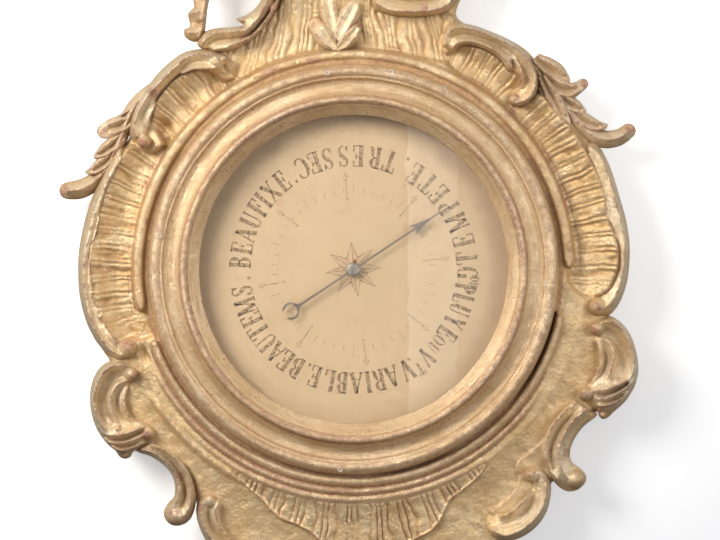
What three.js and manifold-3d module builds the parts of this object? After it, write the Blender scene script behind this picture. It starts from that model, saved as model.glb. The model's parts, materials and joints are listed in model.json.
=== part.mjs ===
// Wall barometer with an aneroid movement in a carved and gilt wooden frame.
// Millimetres. X to the right seen from the front, Z up, the front faces -Y.
// The back plane is Y = 0 and the dial axis is X = 0, Z = 0.
// "h" is the height above the back plane, so a point at height h lies at Y = -h.
import * as THREE from "three";
import { mergeVertices } from "three/addons/utils/BufferGeometryUtils.js";
import Module from "manifold-3d";

const wasm = await Module();
wasm.setup();

// ---- driving dimensions -------------------------------------------------
const GAP = 0.3;            // clearance kept between touching pieces
const BOARD_T = 34;         // thickness of the wooden ground
const CASE_HOLE_R = 58;     // hole in the ground for the movement case
const FLANGE_R = 67;        // case flange
const FLANGE_T = 1.5;
const RING_IN_R = 138.2;    // sight radius of the ring moulding
const RING_OUT_R = 184.5;   // outer radius of the ring moulding
const RING_TOP = 66;        // front of the ring's bead
const BORDER_IN_R = 185.2;  // raised border around the ring
const BORDER_OUT_R = 198;
const BORDER_TOP = 44;
const DIAL_R = 141;         // dial plate and card
const GLASS_R = 143;
const GLASS_H0 = 45.5;      // back face of the glass
const GLASS_T = 2.2;
const HAND_H = 41.0;        // back face of the hand
const HAND_T = 0.9;
const HAND_TIP = 101.5;     // length from the axis to the tip
const HAND_ANGLE = 56.5;    // degrees clockwise from 12 o'clock at rest
const SHAFT_X = 22;         // rocking shaft of the regulator
const SHAFT_H = 15;
const REG_ARM = 12;         // long arm of the regulator
const SHORT_ARM = 5;
const LEVER_X = -33;        // pivot of the main lever
const LEVER_H = 22;
const DRUM_R = 1.0;         // chain drum on the pointer arbor
const PIN_CIRCLE = [[-23.9, 179.2], [34.6, 179.8], [82.5, 165.0], [-176.5, 31.0], [176.0, -13.0], [-12.0, -182.5]];

const BOARD_OUTLINE = [[-3.3, 449.2], [19.6, 440], [40.6, 421.8], [55.2, 399.8], [79, 381.5], [95.4, 354.1], [104.5, 323.1], [106.4, 292], [102.7, 260], [93.6, 233.5], [106.4, 222.5], [126.5, 216.1], [146.6, 207.9], [162.1, 196], [170.3, 180.5], [181.3, 164], [195.9, 147.6], [208.7, 129.3], [219.7, 112.9], [230.7, 95.5], [239.8, 74.5], [246.2, 54.4], [249.8, 31.5], [249.8, 6.9], [246.2, -16.9], [238.9, -33.4], [233.4, -42.5], [245.3, -52.5], [253.5, -67.2], [258.1, -84.5], [256.2, -102.8], [248, -118.3], [232.5, -126.6], [217.9, -132], [206.9, -143.9], [198.7, -157.6], [195, -172.2], [188.6, -186.9], [177.7, -199.7], [177.7, -215.2], [171.3, -229.8], [158.5, -240.8], [141.1, -247.2], [121, -258.1], [99.1, -279.2], [75.3, -303.9], [49.7, -327.6], [24.1, -349.5], [-0.6, -364.2], [-25.2, -352.3], [-49, -334.9], [-70.9, -313], [-94.7, -291.1], [-116.6, -272.8], [-133.1, -251.8], [-141.3, -228.9], [-144, -210.6], [-149.5, -190.5], [-162.3, -176.8], [-178.8, -169.5], [-198.8, -164.9], [-217.1, -159.5], [-229, -146.7], [-236.3, -131.1], [-238.2, -113.8], [-233.6, -97.3], [-222.6, -86.3], [-228.1, -75.4], [-237.2, -62.6], [-244.5, -46.1], [-249.1, -26], [-250, -0.5], [-248.2, 22.4], [-242.7, 45.2], [-235.4, 67.2], [-226.3, 87.3], [-215.3, 105.6], [-204.3, 122], [-201.6, 142.1], [-193.4, 158.6], [-178.8, 175], [-162.3, 189.6], [-145.8, 198.8], [-129.4, 203.3], [-107.5, 206.1], [-89.2, 218.9], [-81.9, 239], [-87.4, 264.6], [-94.7, 290.1], [-94.7, 317.6], [-87.4, 345], [-70.9, 370.6], [-56.3, 390.7], [-43.5, 416.3], [-25.2, 440]];

// Carved ornaments: node name, front height above the back plane, and (X, Z) outlines that join into one carving.
const ORNAMENTS = [
  { name: "upper_left_scroll", top: 58, outlines: [[[-137.2, 197.2], [-150.6, 194.5], [-162.3, 187.3], [-173, 177.5], [-182.8, 165.9], [-191.8, 153.4], [-198, 139.9], [-201.2, 126.5], [-198.9, 115.8], [-191.8, 108.7], [-182.8, 106.9], [-179.3, 112.2], [-181.9, 121.2], [-181, 133.7], [-176.6, 146.2], [-169.4, 158.7], [-158.7, 170.3], [-146.2, 176.6], [-133.7, 177.5], [-124.7, 173], [-115.8, 166.8], [-107.7, 167.7], [-104.1, 175.7], [-108.6, 185.6], [-115.8, 192.7], [-125.6, 197.2]]] },
  { name: "upper_right_scroll", top: 58, outlines: [[[90.8, 220.4], [106, 218.6], [123.9, 212.4], [140, 205.2], [153.4, 194.5], [162.3, 181.1], [165.9, 166.8], [163.2, 155.2], [156.1, 148], [145.3, 145.3], [138.2, 148.9], [140.9, 156], [148, 162.3], [149.8, 169.4], [143.6, 174.8], [136.4, 176.6], [131, 185.6], [122.1, 192.7], [109.6, 198.1], [97.1, 199.9], [89, 194.5], [81.9, 192.7], [78.3, 199.9], [80.1, 209.7], [83.7, 216.8]]] },
  { name: "left_rim", top: 52, outlines: [[[-211.4, 110.9], [-220.4, 95.6], [-229.3, 76.8], [-237.4, 57], [-242.8, 37.2], [-246.4, 17.5], [-247.3, -0.5], [-245.9, -22.9], [-241, -43.5], [-233.8, -59.7], [-224.9, -72.3], [-215.9, -80.3], [-206, -83], [-197, -80.3], [-190.7, -73.2], [-190.7, -65.1], [-197, -59.7], [-205.1, -59.7], [-211.4, -63.3], [-218.6, -56.1], [-224.9, -43.5], [-231.1, -27.4], [-234.7, -9.4], [-235.6, 6.7], [-234.7, 19.3], [-229.3, 33.7], [-226.7, 51.6], [-221.3, 71.4], [-212.3, 89.3], [-203.3, 105.5]]] },
  { name: "right_rim", top: 52, outlines: [[[206.9, 110.9], [215.9, 114.5], [224, 105.5], [232.1, 87.5], [239.2, 64.2], [244.6, 44.4], [247.8, 24.7], [247.8, 6.7], [245.5, -11.2], [240.2, -27.4], [233, -38.1], [224.9, -43.5], [215, -41.7], [209.6, -33.7], [211.4, -25.6], [218.6, -22], [226.7, -18.4], [232.1, -8.5], [235.7, 4.9], [235.7, 19.3], [232.1, 31.9], [226.7, 46.2], [224.9, 62.4], [221.3, 76.8], [215.9, 89.3], [210.5, 100.1]]] },
  { name: "lower_left_c_scroll", top: 54, outlines: [[[-196.4, -83.1], [-209, -80.5], [-220.7, -84], [-230.6, -93.9], [-235.9, -106.5], [-236.8, -120.9], [-234.1, -135.3], [-226.9, -148.8], [-218, -158.7], [-211.7, -165.8], [-204.5, -169.4], [-199.1, -164.9], [-190.1, -162.2], [-182.9, -155.9], [-180.2, -146.1], [-184.7, -138.9], [-192.8, -142.5], [-201.8, -137.1], [-206.3, -124.5], [-207.2, -111.9], [-202.7, -103.8], [-195.5, -99.3], [-192.8, -91.2]]] },
  { name: "lower_right_c_scroll", top: 54, outlines: [[[212.6, -43.6], [221.6, -41.8], [232.4, -42.7], [243.2, -50.8], [251.2, -65.2], [255.7, -80.5], [255.7, -95.7], [250.3, -110.1], [241.3, -120.9], [233.3, -128.1], [226.1, -133.5], [220.7, -128.1], [210.8, -124.5], [202.7, -118.2], [200.9, -110.1], [205.4, -103.8], [212.6, -105.6], [220.7, -101.1], [228.8, -90.3], [231.5, -79.5], [229.7, -68.8], [223.4, -61.6], [215.3, -59.8], [210.8, -52.6]]] },
  { name: "lower_left_s_scroll", top: 50, outlines: [[[-179.8, -153.7], [-167.2, -160.9], [-154.6, -172.6], [-146.4, -186.1], [-141, -202.3], [-141.9, -215.8], [-148.2, -225.7], [-158.2, -230.2], [-167.2, -228.4], [-171.7, -221.2], [-169, -213.1], [-161.8, -207.7], [-159.1, -198.7], [-162.7, -187], [-172.6, -176.2], [-186.1, -168.1], [-190.6, -164.5]]] },
  { name: "lower_right_s_scroll", top: 50, outlines: [[[200.5, -116.7], [188.8, -124.8], [178, -137.4], [170.8, -151.8], [169, -167.2], [173.5, -180.7], [182.5, -193.3], [191.5, -199.6], [201.4, -198.7], [208.6, -192.4], [209.5, -185.2], [204.1, -178.9], [196.9, -173.5], [195.1, -164.5], [198.7, -153.7], [206.8, -141.9], [219.4, -131.1], [213.1, -126.6]]] },
  { name: "base_left_scroll", top: 52, outlines: [[[-131.7, -201.8], [-138.9, -206.3], [-141.6, -216.2], [-138.9, -230.6], [-131.7, -244.9], [-120.9, -256.6], [-107.4, -265.6], [-93, -270.1], [-82.2, -266.5], [-78.6, -257.5], [-84, -250.3], [-94.8, -248.5], [-107.4, -241.3], [-116.4, -230.6], [-119.1, -219.8], [-116.4, -210.8], [-120.9, -203.6]]] },
  { name: "base_right_scroll", top: 52, outlines: [[[155.1, -177.5], [164.9, -175.7], [173.9, -181.1], [177.5, -192.8], [176.6, -207.2], [172.1, -220.7], [163.2, -232.3], [149.7, -241.3], [135.3, -244], [123.6, -239.5], [117.3, -229.7], [119.1, -219.8], [127.2, -215.3], [135.3, -218], [144.3, -212.6], [153.3, -203.6], [159.6, -194.6], [153.3, -190.1], [150.6, -183.8]]] },
  { name: "pendant_leaf", top: 52, outlines: [[[-0.4, -302.5], [9.4, -313.2], [11.2, -333], [25.6, -340.2], [34.6, -354.6], [27.4, -369], [14.8, -378], [-0.4, -385.2], [-15.7, -378], [-28.3, -369], [-34.6, -354.6], [-25.6, -340.2], [-8.5, -333], [-8.5, -313.2]],
    [[-82.2, -275.5], [-70.5, -289.9], [-55.3, -306.1], [-37.3, -322.2], [-21.1, -333], [-3.1, -342], [-1.3, -324], [-19.3, -311.4], [-31.9, -304.3], [-44.5, -291.7], [-55.3, -279.1], [-66.1, -270.1], [-75, -268.3]],
    [[111.9, -245.8], [122.7, -247.6], [113.7, -261.1], [97.5, -276.4], [81.3, -293.5], [63.4, -309.6], [43.6, -324], [27.4, -333.9], [-1.3, -333], [2.2, -318.6], [22, -312.4], [36.4, -304.3], [52.6, -290.8], [68.8, -275.5], [83.2, -261.1], [97.5, -250.3]]] },
  { name: "bottom_shell", top: 46, outlines: [[[-97, -193.5], [-88, -207.1], [-75.4, -221.5], [-60.9, -226.9], [-46.5, -231.4], [-34.8, -240.5], [-24.8, -254.9], [-12.2, -272.9], [0.4, -285.6], [14.9, -276.6], [31.1, -262.1], [45.5, -249.5], [63.6, -239.6], [78, -229.6], [83.5, -217], [88.9, -207.1], [102.4, -197.2], [113.2, -188.1], [117.7, -178.2], [105.1, -188.1], [87.1, -197.2], [60, -205.3], [32.9, -209.8], [5.8, -210.7], [-21.2, -208], [-48.3, -202.6], [-75.4, -196.2], [-86.2, -193.5]]] },
  { name: "crest_left_scroll", top: 56, outlines: [[[-139.8, 200.9], [-138.9, 208.1], [-132.6, 214.4], [-121.8, 217.1], [-109.2, 218], [-99.3, 219.8], [-105.6, 225.2], [-96.6, 228.8], [-87.6, 235.9], [-82.2, 245.8], [-85.8, 262], [-93, 278.2], [-96.6, 298], [-96.6, 319.5], [-91.2, 341.1], [-80.4, 360.9], [-64.3, 375.3], [-48.1, 377.1], [-40.9, 366.3], [-46.3, 355.5], [-57.1, 355.5], [-67.9, 342.9], [-75, 324.9], [-78.6, 305.2], [-76.8, 285.4], [-69.7, 265.6], [-65.2, 247.6], [-71.5, 229.7], [-84, 213.5], [-98.4, 201.8], [-114.6, 195.5], [-129, 195.5]]] },
  { name: "crest_right_scroll", top: 56, outlines: [[[16.6, 235.1], [27.4, 229.7], [43.6, 227], [61.6, 227], [79.6, 229.7], [92.1, 238.6], [99.3, 253], [106.5, 274.6], [108.3, 299.8], [102.9, 324.9], [90.3, 348.3], [74.2, 366.3], [58, 377.1], [45.4, 373.5], [45.4, 360.9], [58, 355.5], [72.4, 341.1], [83.2, 321.3], [86.8, 299.8], [83.2, 283.6], [72.4, 294.4], [54.4, 298], [36.4, 290.8], [23.8, 276.4], [16.6, 256.6]]] },
  { name: "crest_finial", top: 56, outlines: [[[-3.1, 477.7], [14.8, 472.3], [31, 458], [40, 440], [52.6, 425.6], [58, 407.6], [47.2, 395], [31, 389.6], [20.2, 377.1], [-3.1, 373.5], [-22.9, 378.9], [-33.7, 391.4], [-49.9, 395], [-58.9, 407.6], [-53.5, 425.6], [-40.9, 438.2], [-33.7, 458], [-19.3, 472.3]],
    [[-1.4, 379.4], [14.8, 370.4], [25.6, 350.6], [30.1, 328.9], [25.6, 307.4], [13.1, 291.1], [-1.4, 285.8], [-15.8, 291.1], [-28.4, 307.4], [-32.9, 328.9], [-28.4, 350.6], [-17.6, 370.4]]] },
  { name: "crest_fleuron", top: 52, outlines: [[[-17.6, 198.4], [-30.1, 201.2], [-37.4, 213.8], [-36.5, 224.6], [-28.4, 226.3], [-24.8, 235.3], [-28.4, 247.9], [-22.9, 260.6], [-12.2, 265.9], [-3.1, 256.9], [4, 246.2], [5.8, 233.6], [4, 219.2], [-3.1, 206.6]]] },
  { name: "upper_left_leaves", top: 46, outlines: [[[-182.1, 167.6], [-194.7, 157.7], [-207.4, 145.9], [-217.3, 136], [-212.8, 133.3], [-223.6, 130.6], [-230.9, 125.1], [-226.3, 118.8], [-217.3, 117.9], [-218.2, 110.7], [-225.4, 105.3], [-235.4, 103.5], [-232.7, 97.1], [-225.4, 98.9], [-227.2, 91.7], [-238.1, 89.9], [-243.5, 86.3], [-241.7, 82.7], [-252.5, 80], [-263.4, 80], [-267.9, 72.7], [-264.3, 64.6], [-254.3, 61.9], [-241.7, 63.7], [-230.9, 71.8], [-221.8, 86.3], [-212.8, 100.7], [-203.8, 113.4], [-198.3, 127.8], [-191.1, 142.3], [-182.1, 154.9]]] },
  { name: "upper_right_leaves", top: 46, outlines: [[[132.3, 211.9], [148.6, 204.6], [163.1, 198.3], [170.3, 192.9], [171.2, 185.7], [169.4, 182.1], [179.3, 178.4], [191.1, 174.8], [196.5, 166.7], [203.7, 170.3], [210, 167.6], [209.1, 161.3], [201, 156.8], [196.5, 150.4], [208.2, 144.1], [206.4, 137.8], [215.4, 133.3], [228.1, 131.5], [228.1, 125.1], [238.9, 126.9], [246.2, 130.6], [253.4, 126.9], [255.2, 118.8], [250.7, 111.6], [240.8, 108], [228.1, 108], [217.3, 111.6], [206.4, 120.6], [193.8, 133.3], [181.1, 147.7], [168.5, 162.2], [155.8, 180.2], [143.2, 196.5]]] },
  { name: "crest_sprig", top: 46, outlines: [[[-141.8, 204.8], [-150.8, 208.3], [-152.6, 215.6], [-147.2, 219.2], [-148.9, 229.9], [-143.6, 237.2], [-147.2, 249.8], [-150.8, 262.4], [-157.9, 273.1], [-152.6, 282.1], [-143.6, 283.9], [-145.3, 296.6], [-139.9, 309.1], [-145.3, 321.8], [-138.2, 328.9], [-127.3, 327.1], [-118.3, 339.8], [-105.8, 348.8], [-96.8, 343.4], [-102.2, 330.8], [-114.8, 321.8], [-123.8, 310.9], [-125.5, 296.6], [-127.3, 282.1], [-125.5, 267.8], [-127.3, 251.6], [-130.9, 237.2], [-132.8, 220.9], [-134.6, 211.9]]] },
];

// ---- helpers ------------------------------------------------------------
function bare(geometry) {
  let g = geometry.clone();
  for (const k of Object.keys(g.attributes)) if (k !== "position") g.deleteAttribute(k);
  g = mergeVertices(g, 1e-4);
  const p = g.attributes.position, ix = g.index.array, keep = [];
  let vol = 0;
  const a = new THREE.Vector3(), b = new THREE.Vector3(), c = new THREE.Vector3();
  for (let i = 0; i < ix.length; i += 3) {
    if (ix[i] === ix[i + 1] || ix[i + 1] === ix[i + 2] || ix[i] === ix[i + 2]) continue;
    keep.push(ix[i], ix[i + 1], ix[i + 2]);
    a.fromBufferAttribute(p, ix[i]); b.fromBufferAttribute(p, ix[i + 1]); c.fromBufferAttribute(p, ix[i + 2]);
    vol += a.dot(b.clone().cross(c));
  }
  if (vol < 0) for (let i = 0; i < keep.length; i += 3) [keep[i], keep[i + 1]] = [keep[i + 1], keep[i]];
  g.setIndex(keep);
  return g;
}

function solid(geometry) {
  const g = bare(geometry);
  return new wasm.Manifold(new wasm.Mesh({
    numProp: 3,
    vertProperties: new Float32Array(g.attributes.position.array),
    triVerts: new Uint32Array(g.index.array),
  }));
}

function geometryOf(manifold) {
  const m = manifold.getMesh(), g = new THREE.BufferGeometry();
  const n = m.numProp, pos = new Float32Array((m.vertProperties.length / n) * 3);
  for (let i = 0; i < pos.length / 3; i++) for (let k = 0; k < 3; k++) pos[3 * i + k] = m.vertProperties[n * i + k];
  g.setAttribute("position", new THREE.BufferAttribute(pos, 3));
  g.setIndex(Array.from(m.triVerts));
  return g;
}

// The largest connected body of a cut solid.
function largest(manifold) {
  const parts = manifold.decompose();
  parts.sort((p, q) => volumeOf(q) - volumeOf(p));
  return parts[0];
}

function volumeOf(manifold) {
  const g = geometryOf(manifold), p = g.attributes.position, ix = g.index.array;
  const a = new THREE.Vector3(), b = new THREE.Vector3(), c = new THREE.Vector3();
  let v = 0;
  for (let i = 0; i < ix.length; i += 3) {
    a.fromBufferAttribute(p, ix[i]); b.fromBufferAttribute(p, ix[i + 1]); c.fromBufferAttribute(p, ix[i + 2]);
    v += a.dot(b.clone().cross(c)) / 6;
  }
  return v;
}

// Plate with an (X, Z) outline between two heights.
function plate(points, h0, h1, holes = []) {
  const shape = new THREE.Shape(points.map(([x, z]) => new THREE.Vector2(x, z)));
  for (const hole of holes) shape.holes.push(new THREE.Path(hole.map(([x, z]) => new THREE.Vector2(x, z))));
  const g = new THREE.ExtrudeGeometry(shape, { depth: h1 - h0, bevelEnabled: false, curveSegments: 12 });
  g.translate(0, 0, h0);
  g.rotateX(Math.PI / 2);
  return g;
}

function circle(r, n = 32, x = 0, z = 0, turn = 0) {
  return Array.from({ length: n }, (_, i) => {
    const t = turn + (2 * Math.PI * i) / n;
    return [x + r * Math.cos(t), z + r * Math.sin(t)];
  });
}

// Turned solid about the dial axis from (r, h) points that start and end on the axis or close on themselves.
function turned(profile, n = 48, x = 0, z = 0) {
  const g = new THREE.LatheGeometry(profile.map(([r, h]) => new THREE.Vector2(r, h)), n);
  g.rotateX(Math.PI);          // lathe +Y becomes -Y
  g.translate(x, 0, z);
  return g;
}

const ring = (profile, n, x = 0, z = 0) => turned([...profile, profile[0]], n, x, z);
const disc = (r, h0, h1, n = 32, x = 0, z = 0) => turned([[0, h0], [r, h0], [r, h1], [0, h1]], n, x, z);

function box(x0, x1, h0, h1, z0, z1) {
  const g = new THREE.BoxGeometry(x1 - x0, h1 - h0, z1 - z0);
  g.translate((x0 + x1) / 2, -(h0 + h1) / 2, (z0 + z1) / 2);
  return g;
}

// Cylinder along Z.
function rodZ(r, x, h, z0, z1, n = 16) {
  const g = new THREE.CylinderGeometry(r, r, z1 - z0, n);
  g.rotateX(Math.PI / 2);
  g.translate(x, -h, (z0 + z1) / 2);
  return g;
}

// Outline moved outwards by d along its corner normals.
function grown(points, d) {
  const area = points.reduce((s, p, i) => {
    const q = points[(i + 1) % points.length];
    return s + p[0] * q[1] - q[0] * p[1];
  }, 0);
  const sgn = area > 0 ? 1 : -1;
  return points.map((p, i) => {
    const a = points[(i + points.length - 1) % points.length], b = points[(i + 1) % points.length];
    const n1 = [p[1] - a[1], a[0] - p[0]], n2 = [b[1] - p[1], p[0] - b[0]];
    const l1 = Math.hypot(...n1), l2 = Math.hypot(...n2);
    const m = [n1[0] / l1 + n2[0] / l2, n1[1] / l1 + n2[1] / l2];
    const dot = 1 + (n1[0] * n2[0] + n1[1] * n2[1]) / (l1 * l2);
    const k = Math.min(1 / Math.max(dot, 0.25), 3);
    return [p[0] + sgn * m[0] * d * k, p[1] + sgn * m[1] * d * k];
  });
}

const gilt = (c = 0xc9a068) => new THREE.MeshStandardMaterial({ color: c, roughness: 0.45, metalness: 0.6 });
const brass = () => new THREE.MeshStandardMaterial({ color: 0xb98d46, roughness: 0.35, metalness: 0.9 });
const steel = (c = 0x70747c) => new THREE.MeshStandardMaterial({ color: c, roughness: 0.4, metalness: 0.9 });
const iron = () => new THREE.MeshStandardMaterial({ color: 0x3a3633, roughness: 0.6, metalness: 0.8 });
const wood = () => new THREE.MeshStandardMaterial({ color: 0x9a7448, roughness: 0.8, metalness: 0 });

const assembly = new THREE.Group();
assembly.name = "barometer";
function add(name, shape, material) {
  const g = shape instanceof THREE.BufferGeometry ? bare(shape) : bare(geometryOf(shape));
  const mesh = new THREE.Mesh(g, material);
  mesh.name = name;
  assembly.add(mesh);
}

const screwTool = (x, z, r, h0, h1, n = 12) => solid(disc(r, h0, h1, n, x, z));

// ---- carved and gilt wood ----------------------------------------------
const flangeScrews = [90, 210, 330].map((a) => [62.5 * Math.cos(a * Math.PI / 180), 62.5 * Math.sin(a * Math.PI / 180)]);
const HANG_Z = 300;        // pivot of the hanging ring
const HANG_X = 1.5;
const hangScrews = [[HANG_X - 15, HANG_Z], [HANG_X + 15, HANG_Z]];

let ground = solid(plate(BOARD_OUTLINE, 0, BOARD_T))
  .add(solid(ring([[BORDER_IN_R, BOARD_T - 2], [BORDER_OUT_R, BOARD_T - 2], [BORDER_OUT_R, BORDER_TOP - 2], [BORDER_OUT_R - 3, BORDER_TOP], [BORDER_IN_R + 2, BORDER_TOP], [BORDER_IN_R, BORDER_TOP - 2]], 48))
    .intersect(solid(plate(grown(BOARD_OUTLINE, -1.5), 0, 80))))
  .subtract(solid(disc(CASE_HOLE_R, -5, 80, 48)))
  .subtract(solid(disc(FLANGE_R + 0.5, BOARD_T - 3, BOARD_T + 1, 48)))
  // pocket in the back for the hanging plate and its ring
  .subtract(solid(box(HANG_X - 22, HANG_X + 22, -1, 9, HANG_Z - 46, HANG_Z + 46)));
for (const [x, z] of flangeScrews) ground = ground.subtract(screwTool(x, z, 1.35, 18, 40));
for (const [x, z] of hangScrews) ground = ground.subtract(screwTool(x, z, 1.6, 5, 26));
for (const [x, z] of PIN_CIRCLE) ground = ground.subtract(screwTool(x, z, 1.1, 18, 60, 8));
add("ground_board", ground, wood());

// Neighbouring ornaments meet side by side with a clearance.
let taken = solid(ring([[100, -5], [BORDER_OUT_R + GAP, -5], [BORDER_OUT_R + GAP, 90], [100, 90]], 48));
for (const o of ORNAMENTS) {
  let whole = null;
  for (const outline of o.outlines) {
    const piece = solid(plate(outline, BOARD_T + GAP, o.top));
    whole = whole ? whole.add(piece) : piece;
  }
  add(o.name, largest(whole.subtract(taken)), gilt());
  for (const outline of o.outlines) taken = taken.add(solid(plate(grown(outline, GAP + 0.1), -5, 90)));
}

// ---- ring moulding, glass and dial -------------------------------------
let moulding = solid(ring([
  [144.2, BOARD_T + GAP], [RING_OUT_R - 2, BOARD_T + GAP], [RING_OUT_R, 38], [RING_OUT_R - 0.4, 48], [RING_OUT_R - 2.2, 55], [RING_OUT_R - 5.5, 59.6],
  [RING_OUT_R - 8.5, 60.6], [173, 59.2], [172, 58.6], [170.4, 58.4], [169.6, 56.2], [165, 54.6], [160, 56], [156, 60], [154.4, 62.4], [154, 64.6], [151, RING_TOP], [148.4, 64.4], [147.6, 62.8],
  [146.2, 62.2], [139.6, 52], [RING_IN_R, 50], [RING_IN_R, GLASS_H0 + GLASS_T + GAP], [144.2, GLASS_H0 + GLASS_T + GAP],
], 48));
for (const [x, z] of PIN_CIRCLE) moulding = moulding.subtract(screwTool(x, z, 1.1, 30, 70, 8));
add("ring_moulding", moulding, gilt(0xd3aa72));
PIN_CIRCLE.forEach(([x, z], i) => {
  const r = Math.hypot(x, z), top = r > 181.5 ? 57.4 : 61.2;
  add(`ring_pin_${i + 1}`, turned([[0, 20], [0.75, 22], [0.75, top], [1.7, top + 0.2], [1.5, top + 1.0], [0, top + 1.4]], 8, x, z), steel(0xb09a86));
});

add("dial_plate", plate(circle(DIAL_R, 48), 34.3, 35.5, [circle(2.6, 12)]), brass());
add("dial_card", plate(circle(DIAL_R, 48), 35.8, 36.4, [circle(2.6, 12)]), new THREE.MeshStandardMaterial({ color: 0xdebe91, roughness: 0.9, metalness: 0 }));
add("glass_spacer", ring([[139, 36.7], [143.6, 36.7], [143.6, GLASS_H0 - GAP], [139, GLASS_H0 - GAP]], 48), gilt(0xa87f4c));
add("glass", disc(GLASS_R, GLASS_H0, GLASS_H0 + GLASS_T, 48), new THREE.MeshStandardMaterial({ color: 0xffffff, roughness: 0.05, metalness: 0, transparent: true, opacity: 0.25 }));
add("dial_rivet", turned([[0, 36.6], [1.5, 36.6], [1.3, 37.2], [0, 37.5]], 10, 0.9, 7.6), new THREE.MeshStandardMaterial({ color: 0x8a4a2c, roughness: 0.5, metalness: 0.8 }));

// ---- aneroid movement ---------------------------------------------------
// Case: a turned cup, its floor in the back plane and its flange in the board's recess.
const ADJ = [-33, 8];      // adjusting screw
const caseScrews = [30, 150, 270].map((a) => [44 * Math.cos(a * Math.PI / 180), 44 * Math.sin(a * Math.PI / 180)]);
let cup = solid(turned([[0, 0], [56, 0], [57, 1], [57, BOARD_T - 3 + GAP], [FLANGE_R, BOARD_T - 3 + GAP], [FLANGE_R, BOARD_T - 3 + GAP + FLANGE_T],
  [55.5, BOARD_T - 3 + GAP + FLANGE_T], [55.5, 2.5], [0, 2.5]], 48));
for (const [x, z] of flangeScrews) cup = cup.subtract(screwTool(x, z, 1.6, 25, 40));
for (const [x, z] of caseScrews) cup = cup.subtract(screwTool(x, z, 1.5, -2, 4)).subtract(screwTool(x, z, 3.0, -2, 1.4));
cup = cup.subtract(screwTool(ADJ[0], ADJ[1], 3.4, -2, 4, 16));
add("movement_case", cup, brass());
flangeScrews.forEach(([x, z], i) => add(`case_screw_${i + 1}`,
  turned([[0, 19], [1.0, 20], [1.0, 33.1], [2.4, 33.1], [2.2, 34.0], [0, 34.1]], 10, x, z), brass()));
caseScrews.forEach(([x, z], i) => add(`movement_screw_${i + 1}`,
  turned([[0, 0.15], [2.3, 0.2], [2.5, 1.1], [1.1, 1.1], [1.1, 4.9], [0, 4.9]], 10, x, z), steel()));

let basePlate = solid(disc(50, 2.8, 4.0, 40));
for (const [x, z] of caseScrews) basePlate = basePlate.subtract(screwTool(x, z, 1.45, 0, 6));
basePlate = basePlate.subtract(screwTool(ADJ[0], ADJ[1], 2.3, 0, 6, 16));
add("base_plate", basePlate, brass());

// Evacuated capsule: two corrugated diaphragms, with the stud that meets the spring.
const CAP = [-8, -12];
add("vacuum_capsule", turned([[0, 4.4], [18, 4.4], [20.5, 5.4], [22, 8.6], [20.8, 10.6], [19.6, 11.8], [18, 10.8], [16, 12.0], [14, 11.0], [12, 12.2], [10, 11.2], [8, 12.3], [5.5, 11.6], [3.2, 12.4],
  [2.6, 16.6], [0, 16.6]], 24, CAP[0], CAP[1]), steel(0xa9a79c));
// Bridge beside the capsule, cut away where the adjusting screw lifts it.
add("spring_bridge", solid(box(-38, -31.5, 4.4, 16.4, -26, 4)).add(solid(box(-44, -31.5, 4.4, 6.4, -20, 12)))
, brass());
add("leaf_spring", box(-38, -3, 16.9, 18.1, -20, -4), steel(0x5b6470));
add("adjusting_screw", turned([[0, 0.15], [2.7, 0.2], [2.8, 1.6], [1.9, 1.6], [1.9, 4.1], [0, 4.1]], 14, ADJ[0], ADJ[1]), brass());

// Main lever in its bracket.
add("lever_bracket", solid(box(-37.5, -29.5, 18.4, 19.6, -19, -5))
  .add(solid(box(-35, -31, 18.4, 24, -15.4, -14))).add(solid(box(-35, -31, 18.4, 24, -6.4, -5.0)))
  .subtract(solid(rodZ(1.15, LEVER_X, LEVER_H, -30, 10, 14))), brass());
let lever = solid(box(LEVER_X - 2, 18.6, 21.2, 22.8, -10.6, -7.6))
  .add(solid(rodZ(0.8, LEVER_X, LEVER_H, -16.6, -3.8, 12)))
  .add(solid(box(-10, -6, 19.8, 21.6, -10.4, -7.8)))
  .subtract(solid(box(16.2, 17.8, 20, 24, -9.8, -8.4)));
add("main_lever", lever, steel());
add("lever_link", solid(box(16.55, 17.45, 16.1, 23.6, -9.5, -8.7)).add(solid(box(15.9, 18.1, 23.1, 24.1, -9.8, -8.4))), steel());

// Rocking shaft with its short and long arms, in a two-eared bearing.
let regulator = solid(rodZ(1.0, SHAFT_X, SHAFT_H, -15.6, 13.4, 14))
  .add(solid(box(SHAFT_X - SHORT_ARM - 1.2, SHAFT_X + 1.6, SHAFT_H - 0.7, SHAFT_H + 0.7, -10, -8.2)))
  .add(solid(box(SHAFT_X - 0.7, SHAFT_X + 0.7, SHAFT_H - 1.6, SHAFT_H + REG_ARM + 0.8, -1.8, -0.4)));
add("regulator", regulator, steel());
let bearing = solid(box(18, 27, 4.3, 5.5, -15, 13))
  .add(solid(box(19.5, 24.5, 4.4, 17.5, -14.8, -12.8))).add(solid(box(19.5, 24.5, 4.4, 17.5, 10.8, 12.8)))
  .subtract(solid(rodZ(1.35, SHAFT_X, SHAFT_H, -30, 30, 16)));
add("shaft_bearing", bearing, brass());
add("chain", box(0.2, SHAFT_X - 1.1, SHAFT_H + REG_ARM - 0.8, SHAFT_H + REG_ARM - 0.3, -1.75 - DRUM_R + 0.3, -1.35 - DRUM_R + 0.3), steel(0x8b8f96));

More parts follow.
